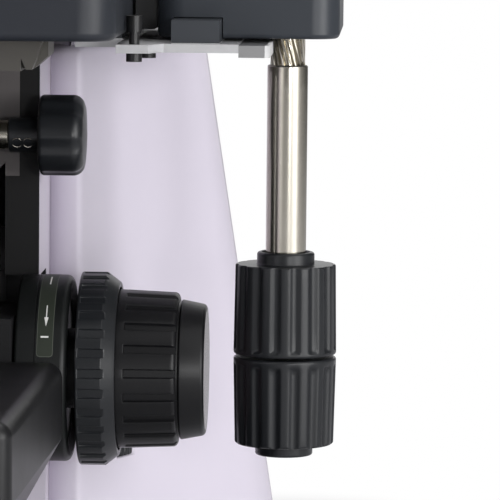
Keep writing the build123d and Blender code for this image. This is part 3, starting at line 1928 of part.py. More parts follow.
def all_pieces():
    coarse_ring = make_coarse_ring()
    fine_knob = make_fine_knob()
    pieces = {
        "base_plate": make_base_plate(),
        "rubber_feet": make_rubber_feet(),
        "frame_block": make_frame_block(),
        "upper_frame": make_upper_frame(),
        "fold_mirrors": make_fold_mirrors(),
        "tube_lens": make_tube_lens(),
        "front_casing": make_front_casing(),
        "shell_right": make_shell_right(),
        "shell_left": make_shell_left(),
        "rear_cover": make_rear_cover(),
        "stage_brackets": make_stage_brackets(),
        "stage_plate": make_stage_plate(),
        "stage_insert": make_stage_insert(),
        "focus_sleeves": make_focus_sleeves(),
        "guide_rails": make_guide_rails(),
        "torque_ring": make_torque_ring(),
        "coarse_shaft": make_coarse_shaft(),
        "coarse_ring_right": coarse_ring,
        "coarse_ring_left": mirror(coarse_ring, about=Plane.YZ),
        "fine_spindle": make_fine_spindle(),
        "fine_knob_right": fine_knob,
        "fine_knob_left": mirror(fine_knob, about=Plane.YZ),
        "nosepiece_carrier": make_nosepiece_carrier(),
        "turret": make_turret(),
        "selector_shaft": make_selector_shaft(),
        "selector_knob": make_selector_knob(),
        "stage_track": make_stage_track(),
        "y_rack": make_y_rack(),
        "track_screws": make_track_screws(),
        "carriage_box": make_carriage_box(),
        "y_pinion_shaft": make_y_pinion_shaft(),
        "y_knob": make_y_knob(),
        "x_spindle": make_x_spindle(),
        "x_knob": make_x_knob(),
        "x_bar": make_x_bar(),
        "specimen_holder": make_specimen_holder(),
        "specimen_clip": make_specimen_clip(),
        "head_column": make_head_column(),
        "head_body": make_head_body(),
        "right_eyetube": make_eyetube(1),
        "left_eyetube": make_eyetube(-1),
        "right_eyepiece": make_eyepiece(1),
        "left_eyepiece": make_eyepiece(-1),
        "diopter_ring": make_diopter_ring(),
        "arm_pillar": make_arm_pillar(),
        "lamp_arm": make_lamp_arm(),
        "lamp_housing": make_lamp_housing(),
        "collector_lens": make_collector_lens(),
        "field_ring": make_field_ring(),
        "condenser_carrier": make_condenser_carrier(),
        "condenser_body": make_condenser_body(),
        "aperture_lever": make_aperture_lever(),
        "phase_slider": make_phase_slider(),
        "brightness_wheel": make_brightness_wheel(),
        "power_inlet": make_power_inlet(),
        "power_rocker": make_power_rocker(),
    }
    for index, name in enumerate(objective_specs):
        pieces[name] = make_objective(name, index)
    return pieces


os.makedirs("parts", exist_ok=True)
for node, shape in all_pieces().items():
    export_step(shape, f"parts/{node}.step")
    print(node, round(shape.volume))
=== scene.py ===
# %% [markdown]
# # Dressing an inverted microscope
# The CAD model gives every piece its shape and place. This notebook loads it as a fixed
# frame, sets up a small product studio round it, and then gives each piece the surface
# that a maker would give it: paint with a fine texture, moulded plastic, ground steel.
# Pieces that the camera sees close up are made again here as smooth computed surfaces,
# because a tessellated CAD face shows its flats in a highlight.

# %% Load the frame
import json
import math
import bpy
import numpy as np
from mathutils import Matrix, Vector


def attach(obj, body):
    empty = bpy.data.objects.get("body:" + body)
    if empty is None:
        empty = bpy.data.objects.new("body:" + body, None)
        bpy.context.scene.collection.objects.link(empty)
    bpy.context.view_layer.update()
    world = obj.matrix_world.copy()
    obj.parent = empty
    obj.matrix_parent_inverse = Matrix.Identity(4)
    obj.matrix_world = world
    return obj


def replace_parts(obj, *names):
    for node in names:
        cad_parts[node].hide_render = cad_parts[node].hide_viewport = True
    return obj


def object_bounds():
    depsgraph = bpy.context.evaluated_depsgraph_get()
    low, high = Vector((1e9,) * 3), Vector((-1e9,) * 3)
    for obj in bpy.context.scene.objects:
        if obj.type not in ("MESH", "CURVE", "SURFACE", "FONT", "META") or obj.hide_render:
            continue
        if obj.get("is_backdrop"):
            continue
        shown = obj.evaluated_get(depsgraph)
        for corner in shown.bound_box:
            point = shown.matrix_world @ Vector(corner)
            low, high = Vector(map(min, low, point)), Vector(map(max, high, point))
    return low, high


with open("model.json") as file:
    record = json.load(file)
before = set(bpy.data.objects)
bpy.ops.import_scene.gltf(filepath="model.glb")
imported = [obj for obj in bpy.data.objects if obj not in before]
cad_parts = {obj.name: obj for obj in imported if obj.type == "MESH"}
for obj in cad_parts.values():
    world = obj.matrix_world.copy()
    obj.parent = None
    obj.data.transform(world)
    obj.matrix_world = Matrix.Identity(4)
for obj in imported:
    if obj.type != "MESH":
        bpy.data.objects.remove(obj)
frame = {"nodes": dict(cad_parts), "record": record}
cad_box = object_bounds()
nodes = frame["nodes"]
print("CAD nodes:", len(nodes))

# %% [markdown]
# ## The camera
# The photograph is the lower left part of a picture taken from in front of the middle of
# the instrument, slightly to its right. Lines that run straight back meet far above the
# picture, so the lens stands a little higher than what it shows. Here it is turned to
# look down and left at that part, with a slight roll. A cropped, level camera would give
# the same picture, but a large crop also moves the object out of every other view.

# %% The camera
MM = 0.001
SENSOR_MM = 36.0
FRAME_PX = 500.0
FOCAL_PX = 4133.7
CAMERA_PLACE = (185 * MM, -1290 * MM, 251 * MM)
CAMERA_YAW = -0.037951
CAMERA_PITCH = -0.096967
CAMERA_ROLL = 0.009658


def aim_camera():
    """The columns of the turn are the camera's right, its up and its back, in world axes."""
    level = np.array([math.cos(CAMERA_YAW), -math.sin(CAMERA_YAW), 0.0])
    ahead = np.array([math.sin(CAMERA_YAW), math.cos(CAMERA_YAW), 0.0]) * math.cos(CAMERA_PITCH)
    ahead[2] = math.sin(CAMERA_PITCH)
    upright = np.cross(level, ahead)
    right = level * math.cos(CAMERA_ROLL) + upright * math.sin(CAMERA_ROLL)
    up = upright * math.cos(CAMERA_ROLL) - level * math.sin(CAMERA_ROLL)
    turn = Matrix(np.stack([right, up, -ahead], 1).tolist()).to_4x4()
    return Matrix.Translation(Vector(CAMERA_PLACE)) @ turn


lens = bpy.data.cameras.new("camera")
lens.sensor_width = SENSOR_MM
lens.lens = SENSOR_MM * FOCAL_PX / FRAME_PX
lens.clip_start = 0.05
lens.clip_end = 30.0
camera = bpy.data.objects.new("camera", lens)
camera.matrix_world = aim_camera()
bpy.context.scene.collection.objects.link(camera)
bpy.context.scene.camera = camera
bpy.context.scene.view_settings.view_transform = "Standard"
print("lens", round(lens.lens, 1), "mm")

# %% [markdown]
# ## The world
# The instrument stands in a white sweep. The camera, mirrors and glass see plain white,
# while the light that the world gives off is weaker, so that the object isn't washed out.
# A painted backdrop would do too, but one shader that asks what kind of ray it is needs
# no more light.

# %% World
WORLD_LIGHT = 0.42


def calc(tree, kind, a, b=None, c=None):
    """One Math node; each operand is a socket or a number."""
    node = tree.nodes.new("ShaderNodeMath")
    node.operation = kind
    for place, value in enumerate((a, b, c)):
        if value is None:
            continue
        if isinstance(value, (int, float)):
            node.inputs[place].default_value = value
        else:
            tree.links.new(value, node.inputs[place])
    return node.outputs[0]


def seen_directly(tree, mirrors=True):
    """1 for camera rays, and for reflected and refracted ones too, else 0."""
    path = tree.nodes.new("ShaderNodeLightPath")
    total = path.outputs["Is Camera Ray"]
    for ray in ("Is Glossy Ray", "Is Transmission Ray") if mirrors else ():
        total = calc(tree, "MAXIMUM", total, path.outputs[ray])
    return total


def make_world():
    """Two white backgrounds: one as bright as the light on the object, one as bright as it is seen."""
    world = bpy.data.worlds.new("studio")
    bpy.context.scene.world = world
    world.use_nodes = True
    tree = world.node_tree
    tree.nodes.clear()
    pick = tree.nodes.new("ShaderNodeMixShader")
    tree.links.new(seen_directly(tree), pick.inputs[0])
    for place, strength in ((1, WORLD_LIGHT), (2, 1.0)):
        white = tree.nodes.new("ShaderNodeBackground")
        white.inputs["Color"].default_value = (1.0, 1.0, 1.0, 1.0)
        white.inputs["Strength"].default_value = strength
        tree.links.new(white.outputs[0], pick.inputs[place])
    out = tree.nodes.new("ShaderNodeOutputWorld")
    tree.links.new(pick.outputs[0], out.inputs[0])


make_world()
print("world light", WORLD_LIGHT)

# %% [markdown]
# ## The floor
# The floor only has to catch the shadow. Further away it is plain white to the camera, or
# its edge would show as a grey horizon. The change between the two is a smooth band.

# %% Floor
FLOOR_HALF = 6.0
FLOOR_TONE = (0.80, 0.80, 0.82, 1.0)
SHADOW_AREA = (0.14, 0.23, 0.09)


def near_object(tree, half_x, half_y, fade):
    """1 on the floor inside a rectangle, falling smoothly to 0 over the fade distance round it."""
    place = tree.nodes.new("ShaderNodeSeparateXYZ")
    tree.links.new(tree.nodes.new("ShaderNodeTexCoord").outputs["Object"], place.inputs[0])
    beyond = []
    for axis, half in (("X", half_x), ("Y", half_y)):
        outside = calc(tree, "SUBTRACT", calc(tree, "ABSOLUTE", place.outputs[axis]), half)
        beyond.append(calc(tree, "MAXIMUM", outside, 0.0))
    away = calc(tree, "SQRT", calc(tree, "ADD", *[calc(tree, "MULTIPLY", side, side) for side in beyond]))
    ramp = tree.nodes.new("ShaderNodeMapRange")
    ramp.interpolation_type = "SMOOTHSTEP"
    tree.links.new(away, ramp.inputs["Value"])
    ramp.inputs["From Max"].default_value = fade
    ramp.inputs["To Min"].default_value = 1.0
    ramp.inputs["To Max"].default_value = 0.0
    return ramp.outputs["Result"]


def make_floor():
    """A flat square. The camera sees it as white, but for the shadow near the object."""
    half = FLOOR_HALF
    corners = [(-half, -half, 0), (half, -half, 0), (half, half, 0), (-half, half, 0)]
    mesh = bpy.data.meshes.new("floor")
    mesh.from_pydata(corners, [], [(0, 1, 2, 3)])
    floor = bpy.data.objects.new("floor", mesh)
    bpy.context.scene.collection.objects.link(floor)
    material = bpy.data.materials.new("floor_white")
    material.use_nodes = True
    tree = material.node_tree
    tree.nodes.clear()
    plain = tree.nodes.new("ShaderNodeBsdfDiffuse")
    plain.inputs["Color"].default_value = FLOOR_TONE
    white = tree.nodes.new("ShaderNodeEmission")
    pick = tree.nodes.new("ShaderNodeMixShader")
    out = tree.nodes.new("ShaderNodeOutputMaterial")
    far = calc(tree, "SUBTRACT", 1.0, near_object(tree, *SHADOW_AREA))
    tree.links.new(calc(tree, "MULTIPLY", seen_directly(tree, mirrors=False), far), pick.inputs[0])
    tree.links.new(plain.outputs[0], pick.inputs[1])
    tree.links.new(white.outputs[0], pick.inputs[2])
    tree.links.new(pick.outputs[0], out.inputs[0])
    mesh.materials.append(material)
    floor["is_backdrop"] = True


make_floor()
print("floor", 2 * FLOOR_HALF, "m wide")

# %% [markdown]
# ## The screens
# Polished steel shows only what stands round it. A photographer puts bright and dark
# screens beside it, and each makes a long stripe. Lamps could make the stripes as well,
# but would also light the paint, so here a wall of screens is seen by reflections alone.
# Angles are in degrees to the right of the front, and each has a tone from 0 to 1.

# %% Screens
ROOM_RADIUS = 2.3
ROOM_HEIGHTS = (-0.02, 2.6)
SCREEN_STRENGTH = 1.5
SCREENS = [
    (-158, 0.03), (-112, 0.03), (-90, 0.08), (-60, 0.14), (-50, 1.0), (-26, 1.0), (-14, 0.2),
    (0, 0.12), (20, 0.12), (28, 0.3), (34, 1.0), (58, 1.0), (68, 0.28), (100, 0.14), (120, 0.07),
    (158, 0.07),
]


def make_room():
    """A wall round the object: sine and cosine of the angle, times a radius, at two heights."""
    angles = np.radians(np.linspace(SCREENS[0][0], SCREENS[-1][0], 97))
    across = np.tile(ROOM_RADIUS * np.sin(angles), 2)
    forward = np.tile(-ROOM_RADIUS * np.cos(angles), 2)
    points = np.stack([across, forward, np.repeat(ROOM_HEIGHTS, len(angles))], -1)
    first = np.arange(len(angles) - 1)
    quads = np.stack([first, first + 1, first + 1 + len(angles), first + len(angles)], -1)
    mesh = bpy.data.meshes.new("room_screens")
    mesh.from_pydata(points.tolist(), [], quads.tolist())
    room = bpy.data.objects.new("room_screens", mesh)
    bpy.context.scene.collection.objects.link(room)
    for sight in ("visible_camera", "visible_diffuse", "visible_transmission", "visible_shadow"):
        setattr(room, sight, False)
    material = bpy.data.materials.new("room_screens")
    material.use_nodes = True
    tree = material.node_tree
    tree.nodes.clear()
    place = tree.nodes.new("ShaderNodeSeparateXYZ")
    tree.links.new(tree.nodes.new("ShaderNodeTexCoord").outputs["Object"], place.inputs[0])
    turn = calc(tree, "ARCTAN2", place.outputs["X"], calc(tree, "MULTIPLY", place.outputs["Y"], -1.0))
    share = calc(tree, "MULTIPLY_ADD", turn, 0.5 / math.pi, 0.5)
    ramp = tree.nodes.new("ShaderNodeValToRGB")
    points = ramp.color_ramp.elements
    while len(points) < len(SCREENS):
        points.new(0.5)
    for point, (angle, tone) in zip(points, SCREENS):
        point.position = 0.5 + angle / 360
        point.color = (tone, tone, tone, 1.0)
    tree.links.new(share, ramp.inputs[0])
    glow = tree.nodes.new("ShaderNodeEmission")
    glow.inputs["Strength"].default_value = SCREEN_STRENGTH
    tree.links.new(ramp.outputs[0], glow.inputs["Color"])
    out = tree.nodes.new("ShaderNodeOutputMaterial")
    tree.links.new(glow.outputs[0], out.inputs[0])
    mesh.materials.append(material)
    room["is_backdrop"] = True


make_room()
print("tones round the room:", len(SCREENS))

# %% [markdown]
# ## The lamps
# A large soft lamp at the right front lights the side that the camera sees, low enough to
# reach the shell below the stage. A small one in front draws narrow highlights on the
# knobs. Weak ones at the left and above keep the shadows open.

# %% Lamps
LAMP_TARGET = (0.10, -0.05, 0.12)


def lamp(name, place, size, power):
    """A rectangular lamp of the given size in metres and power in watts, turned to the target."""
    data = bpy.data.lights.new(name, "AREA")
    data.shape = "RECTANGLE"
    data.size, data.size_y = size
    data.energy = power
    made = bpy.data.objects.new(name, data)
    made.location = place
    made.rotation_euler = (Vector(LAMP_TARGET) - Vector(place)).to_track_quat("-Z", "Y").to_euler()
    bpy.context.scene.collection.objects.link(made)


lamp("key", (1.9, -1.5, 0.4), (0.9, 0.9), 35.0)
lamp("front", (0.75, -1.9, 0.3), (0.22, 0.22), 6.0)
lamp("left", (-1.6, -0.9, 0.9), (0.5, 1.4), 10.0)
lamp("top", (0.2, 0.3, 1.9), (1.4, 1.0), 8.0)
print("lamps:", len(bpy.data.lights))

# %% [markdown]
# ## Shared effects
# Paint, plastic and machined metal are told apart by their small-scale relief. Each
# effect is a node group with named inputs, built once, that gives out a mask and a
# height. The Principled shader itself stays in each material.

# %% Effect groups


def new_group(name, inputs, outputs):
    """An empty shader group with its named inputs and outputs, and the nodes that carry them."""
    group = bpy.data.node_groups.new(name, "ShaderNodeTree")
    for label, kind, value in inputs:
        socket = group.interface.new_socket(label, in_out="INPUT", socket_type=kind)
        socket.default_value = value
    for label, kind in outputs:
        group.interface.new_socket(label, in_out="OUTPUT", socket_type=kind)
    start = group.nodes.new("NodeGroupInput")
    end = group.nodes.new("NodeGroupOutput")
    return group, start, end


def noise(tree, coords, scale, detail=3.0, roughness=0.55):
    """A noise pattern at the given places, from 0 to 1."""
    node = tree.nodes.new("ShaderNodeTexNoise")
    node.inputs["Detail"].default_value = detail
    node.inputs["Roughness"].default_value = roughness
    tree.links.new(coords, node.inputs["Vector"])
    if isinstance(scale, (int, float)):
        node.inputs["Scale"].default_value = scale
    else:
        tree.links.new(scale, node.inputs["Scale"])
    return node.outputs["Fac"]


def make_grain_group():
    """Fine moulded or sprayed texture: a tight noise on a broad one, as a height and a mask."""
    group, start, end = new_group(
        "surface_grain",
        [("Vector", "NodeSocketVector", (0, 0, 0)), ("Grain per metre", "NodeSocketFloat", 2200.0)],
        [("Height", "NodeSocketFloat"), ("Patches", "NodeSocketFloat")],
    )
    fine = noise(group, start.outputs["Vector"], start.outputs["Grain per metre"], 2.0)
    broad = noise(group, start.outputs["Vector"], 34.0, 4.0)
    group.links.new(fine, end.inputs["Height"])
    group.links.new(broad, end.inputs["Patches"])
    return group


def make_turning_group():
    """Faint rings left by a lathe: a noise squeezed along the axis of the piece."""
    group, start, end = new_group(
        "turning_marks",
        [("Vector", "NodeSocketVector", (0, 0, 0)), ("Rings per metre", "NodeSocketFloat", 5000.0)],
        [("Height", "NodeSocketFloat"), ("Streaks", "NodeSocketFloat")],
    )
    split = group.nodes.new("ShaderNodeSeparateXYZ")
    group.links.new(start.outputs["Vector"], split.inputs[0])
    ring = group.nodes.new("ShaderNodeTexNoise")
    ring.noise_dimensions = "1D"
    ring.inputs["Detail"].default_value = 2.0
    along = calc(group, "MULTIPLY", split.outputs["X"], start.outputs["Rings per metre"])
    group.links.new(along, ring.inputs["W"])
    ring.inputs["Scale"].default_value = 1.0
    group.links.new(ring.outputs["Fac"], end.inputs["Height"])
    streak = noise(group, start.outputs["Vector"], 120.0, 3.0)
    group.links.new(streak, end.inputs["Streaks"])
    return group


GRAIN = make_grain_group()
TURNING = make_turning_group()
print("effects:", GRAIN.name, TURNING.name)

# %% [markdown]
# ## Finishes
# One function makes any painted, moulded or machined finish. It mixes two close tones
# over broad patches, because no real surface is one flat colour, and lets the same
# patches move the roughness a little. The fine height goes through a Bump node.

# %% Finish maker
COAT_ROUGHNESS = 0.2
RELIEF_STRENGTH = 0.6


def rgba(colour):
    """sRGB numbers from 0 to 255, as read off a picture, to the linear colour that a socket takes."""
    share = np.array(colour, float) / 255.0
    linear = np.where(share <= 0.04045, share / 12.92, ((share + 0.055) / 1.055) ** 2.4)
    return (*[float(v) for v in linear], 1.0)


def mix_colour(tree, share, first, second):
    """A share of the second colour over the first; each is a socket or a colour."""
    node = tree.nodes.new("ShaderNodeMix")
    node.data_type = "RGBA"
    tree.links.new(share, node.inputs["Factor"])
    for socket, value in (("A", first), ("B", second)):
        place = [s for s in node.inputs if s.name == socket and s.type == "RGBA"][0]
        if isinstance(value, tuple):
            place.default_value = value
        else:
            tree.links.new(value, place)
    return [s for s in node.outputs if s.type == "RGBA"][0]


def finish(name, tone, other_tone, rough, spread, grain, depth, metallic=0.0, coat=0.0, turned=None,
           specular=0.5):
    """Two tones and a roughness band, shared out by a broad noise, over a relief of depth mm."""
    material = bpy.data.materials.new(name)
    material.use_nodes = True
    tree = material.node_tree
    shader = tree.nodes["Principled BSDF"]
    shader.inputs["Metallic"].default_value = metallic
    shader.inputs["Specular IOR Level"].default_value = specular
    shader.inputs["Coat Weight"].default_value = coat
    shader.inputs["Coat Roughness"].default_value = COAT_ROUGHNESS
    coords = tree.nodes.new("ShaderNodeTexCoord").outputs["Object"]
    if turned is not None:
        mapping = tree.nodes.new("ShaderNodeMapping")
        mapping.inputs["Rotation"].default_value = turned
        tree.links.new(coords, mapping.inputs["Vector"])
        coords = mapping.outputs[0]
    effect = tree.nodes.new("ShaderNodeGroup")
    effect.node_tree = GRAIN if turned is None else TURNING
    tree.links.new(coords, effect.inputs["Vector"])
    effect.inputs[1].default_value = grain
    broad = effect.outputs[1]
    colour = mix_colour(tree, broad, rgba(tone), rgba(other_tone))
    tree.links.new(colour, shader.inputs["Base Color"])
    roughness = calc(tree, "MULTIPLY_ADD", broad, spread, rough - spread / 2)
    tree.links.new(roughness, shader.inputs["Roughness"])
    bump = tree.nodes.new("ShaderNodeBump")
    bump.inputs["Strength"].default_value = RELIEF_STRENGTH
    bump.inputs["Distance"].default_value = depth * MM
    tree.links.new(effect.outputs["Height"], bump.inputs["Height"])
    tree.links.new(bump.outputs[0], shader.inputs["Normal"])
    return material


def glass(name, tone):
    """Clear glass: plain transmission, with only its roughness and colour set."""
    material = bpy.data.materials.new(name)
    material.use_nodes = True
    tree = material.node_tree
    shader = tree.nodes["Principled BSDF"]
    shader.inputs["Transmission Weight"].default_value = 1.0
    shader.inputs["IOR"].default_value = 1.5
    coords = tree.nodes.new("ShaderNodeTexCoord").outputs["Object"]
    smear = noise(tree, coords, 60.0)
    tree.links.new(calc(tree, "MULTIPLY_ADD", smear, 0.05, 0.01), shader.inputs["Roughness"])
    colour = mix_colour(tree, smear, rgba(tone), rgba(tuple(c * 0.97 for c in tone)))
    tree.links.new(colour, shader.inputs["Base Color"])
    return material


print("relief strength", RELIEF_STRENGTH)

# %% [markdown]
# ## The table of finishes
# Each row is a finish of the real instrument: its two tones as sRGB numbers, its
# roughness and how far that varies, and the fineness and depth of its relief. Metal that
# was turned on a lathe gets rings across its upright axis in place of grain. The greys of
# column_grey and bracket_metal are painted light: they stand in for black paint lit from the front.

# %% Table of finishes
ALONG_Z = (0.0, math.pi / 2, 0.0)
FINISHES = {
    "pale_shell": finish("pale_shell", (222, 215, 228), (216, 210, 223), 0.42, 0.06, 1500, 0.012),
    "black_casing": finish("black_casing", (20, 20, 22), (16, 16, 18), 0.4, 0.1, 1800, 0.03, specular=0.35),
    "black_casting": finish("black_casting", (20, 20, 22), (16, 16, 18), 0.45, 0.1, 1600, 0.05, specular=0.3),
    # Painted highlight: this grey stands in for frontal light on the black-painted column.
    "column_grey": finish("column_grey", (74, 71, 71), (68, 66, 66), 0.5, 0.08, 1600, 0.03),
    "stage_paint": finish("stage_paint", (40, 43, 49), (36, 39, 45), 0.42, 0.1, 2400, 0.03, specular=0.3),
    "box_paint": finish("box_paint", (50, 54, 60), (46, 50, 56), 0.38, 0.08, 2400, 0.02, specular=0.35),
    # Painted highlight: this grey stands in for frontal light on the black-painted stage brackets.
    "bracket_metal": finish("bracket_metal", (88, 85, 80), (76, 74, 70), 0.48, 0.1, 2000, 0.02, metallic=0.4),
    "base_steel": finish("base_steel", (44, 44, 46), (38, 38, 40), 0.55, 0.1, 1800, 0.03),
    "foot_rubber": finish("foot_rubber", (24, 24, 24), (20, 20, 20), 0.75, 0.1, 1500, 0.05),
    "insert_metal": finish("insert_metal", (34, 34, 36), (30, 30, 32), 0.35, 0.1, 3000, 0.01, metallic=0.4),
    "bright_steel": finish(
        "bright_steel", (200, 195, 183), (186, 181, 170), 0.2, 0.08, 6000, 0.006, metallic=1.0, turned=ALONG_Z
    ),
    "silver_plate": finish(
        "silver_plate", (168, 168, 168), (156, 156, 157), 0.34, 0.1, 4000, 0.008, metallic=0.9
    ),
    "knob_black": finish("knob_black", (29, 31, 34), (24, 26, 29), 0.32, 0.1, 2600, 0.02, specular=0.42),
    "fine_knob": finish("fine_knob", (20, 20, 22), (16, 16, 18), 0.36, 0.1, 2600, 0.02, specular=0.3),
    "torque_plastic": finish(
        "torque_plastic", (24, 26, 26), (20, 22, 22), 0.4, 0.1, 2600, 0.02, specular=0.25
    ),
    "anodised": finish("anodised", (30, 30, 32), (25, 25, 27), 0.38, 0.1, 5000, 0.006, metallic=0.3),
    "slide_metal": finish(
        "slide_metal", (150, 151, 153), (140, 141, 143), 0.36, 0.1, 4000, 0.006, metallic=0.9
    ),
    "objective_metal": finish(
        "objective_metal", (190, 190, 190), (178, 178, 178), 0.22, 0.08, 6000, 0.004, metallic=1.0,
        turned=ALONG_Z,
    ),
    "mirror_glass": finish(
        "mirror_glass", (220, 224, 226), (214, 218, 221), 0.05, 0.03, 800, 0.001, metallic=1.0
    ),
    "head_paint": finish("head_paint", (216, 210, 221), (210, 204, 216), 0.42, 0.06, 1500, 0.012),
    "eyepiece_black": finish("eyepiece_black", (24, 24, 25), (20, 20, 21), 0.5, 0.1, 2200, 0.02),
    "lamp_black": finish("lamp_black", (30, 30, 31), (25, 25, 26), 0.45, 0.1, 3000, 0.01, metallic=0.3),
    "inlet_black": finish("inlet_black", (24, 24, 24), (20, 20, 20), 0.5, 0.1, 2000, 0.02),
    "rocker_black": finish("rocker_black", (22, 22, 22), (18, 18, 18), 0.22, 0.08, 1500, 0.008, coat=0.2),
    "lens_glass": glass("lens_glass", (238, 244, 246)),
    "polished_end": finish("polished_end", (96, 81, 88), (88, 75, 81), 0.24, 0.04, 2000, 0.002, coat=0.25),
    "strip_edge": finish("strip_edge", (88, 92, 84), (82, 86, 79), 0.5, 0.08, 2000, 0.006, specular=0.25),
    "strip_face": finish("strip_face", (50, 55, 47), (46, 51, 44), 0.5, 0.08, 2000, 0.006, specular=0.25),
    "mark_white": finish("mark_white", (236, 236, 233), (230, 230, 227), 0.5, 0.08, 2000, 0.006),
}
print("finishes:", len(FINISHES))

# %% [markdown]
# ## Dressing the CAD pieces
# Every CAD piece gets the finish of its slot. The two castings and the silver track carry
# more than one colour. Cutting them up would change the model, so a mask on the object's
# own coordinates, in metres, lays the second colour over the first. Some of these colours
# are painted light. The grey on the upper flange is a painted highlight on black paint. The
# pale beside the shells is their paint, darkened as painted shade. The dark top of the
# track is painted shade for the gap under the stage.

# %% Dress the CAD pieces
SLOT_OF = {row["node"]: row["material_slot"] for row in frame["record"]["subparts"]}
SHELL_SIDE = 0.0743
STEP_SIDE, STEP_FRONT, STEP_TOP = 0.0622, -0.0284, 0.08
FLANGE_SIDE, FLANGE_LOW = 0.0683, 0.152
TRACK_TOP = 0.19445


def object_axis(tree, axis):
    """One object coordinate of the shaded point, in metres."""
    place = tree.nodes.new("ShaderNodeSeparateXYZ")
    tree.links.new(tree.nodes.new("ShaderNodeTexCoord").outputs["Object"], place.inputs[0])
    return place.outputs[axis]


def beyond(tree, axis, limit, folded=False):
    """1 where the coordinate, or its size when folded, is over the limit, else 0."""
    value = object_axis(tree, axis)
    if folded:
        value = calc(tree, "ABSOLUTE", value)
    return calc(tree, "GREATER_THAN", value, limit)


def repaint(material, share, colour):
    """Lay another colour over the material's own where the mask is 1."""
    tree = material.node_tree
    socket = tree.nodes["Principled BSDF"].inputs["Base Color"]
    plain = socket.links[0].from_socket
    tree.links.new(mix_colour(tree, share, plain, rgba(colour)), socket)


def dress_frame():
    """Black castings with a painted highlight in grey on the front flange, pale paint darkened as painted
    shade beside the shells, and a plated track whose top is painted dark as shade.
    """
    lower = finish("lower_casting", (22, 22, 24), (18, 18, 20), 0.5, 0.1, 1600, 0.05, specular=0.3)
    tree = lower.node_tree
    low = calc(tree, "SUBTRACT", 1.0, beyond(tree, "Z", STEP_TOP))
    step = calc(tree, "MULTIPLY", beyond(tree, "X", STEP_SIDE, True), beyond(tree, "Y", STEP_FRONT))
    step = calc(tree, "MULTIPLY", step, low)
    # The pale beside the shells is their two-tone paint, and it is darker than the shells' own tone as painted
    # shade on these flanks.
    repaint(lower, calc(tree, "MAXIMUM", step, beyond(tree, "X", SHELL_SIDE, True)), (205, 198, 211))
    upper = finish("upper_casting", (16, 16, 17), (13, 13, 14), 0.5, 0.1, 1600, 0.03, specular=0.25)
    tree = upper.node_tree
    middle = calc(tree, "SUBTRACT", 1.0, beyond(tree, "X", FLANGE_SIDE, True))
    # Painted highlight: a grey tone on the black flange stands in for the light that falls on its front.
    repaint(upper, calc(tree, "MULTIPLY", middle, beyond(tree, "Z", FLANGE_LOW)), (92, 88, 88))
    # Painted shade: the pale on the upper flanks is also darker than the shells' own tone.
    repaint(upper, beyond(tree, "X", SHELL_SIDE, True), (200, 193, 206))
    track = finish(
        "plated_track", (214, 214, 215), (178, 178, 180), 0.42, 0.2, 5000, 0.02, metallic=0.55, turned=ALONG_Z
    )
    tree = track.node_tree
    # Painted shade: the raised top of the track is painted dark, which stands in for the shaded gap between
    # the stage and the box.
    repaint(track, beyond(tree, "Z", TRACK_TOP), (44, 48, 54))
    metal = calc(tree, "SUBTRACT", 0.85, beyond(tree, "Z", TRACK_TOP))
    tree.links.new(metal, tree.nodes["Principled BSDF"].inputs["Metallic"])
    screws = finish("blackened_screws", (26, 26, 27), (20, 20, 21), 0.3, 0.1, 4000, 0.006, specular=0.4)
    for name, look in (
        ("frame_block", lower), ("upper_frame", upper), ("stage_track", track), ("track_screws", screws),
    ):
        nodes[name].data.materials[0] = look


def dress_nodes():
    """Each CAD piece gets the finish of its slot in the record."""
    for name, piece in nodes.items():
        piece.data.materials.clear()
        piece.data.materials.append(FINISHES[SLOT_OF[name]])


dress_nodes()
dress_frame()
print("dressed", len(nodes), "CAD pieces")

# %% [markdown]
# ## Smooth shading for the CAD pieces
# A CAD face arrives as loose flat triangles. Joined and shaded as one surface, a fillet
# reads as a curve again. Edges that turn by more than a set angle stay crisp, and each
# corner takes its direction from the larger face, so broad flat faces stay flat.

# %% Smooth shading
SMOOTH_ANGLE = 28.0
MERGE_DISTANCE = 2e-6


def make_smoother():
    """Merge the loose corners, shade all faces smooth and keep the steep edges sharp."""
    group = bpy.data.node_groups.new("join_and_smooth", "GeometryNodeTree")
    group.interface.new_socket("Geometry", in_out="INPUT", socket_type="NodeSocketGeometry")
    group.interface.new_socket("Geometry", in_out="OUTPUT", socket_type="NodeSocketGeometry")
    start = group.nodes.new("NodeGroupInput")
    end = group.nodes.new("NodeGroupOutput")
    merge = group.nodes.new("GeometryNodeMergeByDistance")
    merge.inputs["Distance"].default_value = MERGE_DISTANCE
    smooth = group.nodes.new("GeometryNodeSetShadeSmooth")
    crisp = group.nodes.new("GeometryNodeSetShadeSmooth")
    crisp.domain = "EDGE"
    crisp.inputs["Shade Smooth"].default_value = False
    angle = group.nodes.new("GeometryNodeInputMeshEdgeAngle")
    steep = group.nodes.new("FunctionNodeCompare")
    steep.data_type = "FLOAT"
    steep.operation = "GREATER_THAN"
    steep.inputs[1].default_value = math.radians(SMOOTH_ANGLE)
    group.links.new(start.outputs[0], merge.inputs["Geometry"])
    group.links.new(merge.outputs[0], smooth.inputs["Geometry"])
    group.links.new(smooth.outputs[0], crisp.inputs["Geometry"])
    group.links.new(angle.outputs[0], steep.inputs[0])
    group.links.new(steep.outputs[0], crisp.inputs["Selection"])
    group.links.new(crisp.outputs[0], end.inputs[0])
    return group


def smooth_nodes():
    """Both modifiers on every CAD piece, one after the other; no mesh is changed."""
    group = make_smoother()
    for name in nodes:
        piece = bpy.data.objects[name]
        joined = piece.modifiers.new("join_and_smooth", "NODES")
        joined.node_group = group
        flats = piece.modifiers.new("flats", "WEIGHTED_NORMAL")
        flats.mode = "FACE_AREA"
        flats.keep_sharp = True


smooth_nodes()
print("smoothed", len(nodes), "CAD pieces")

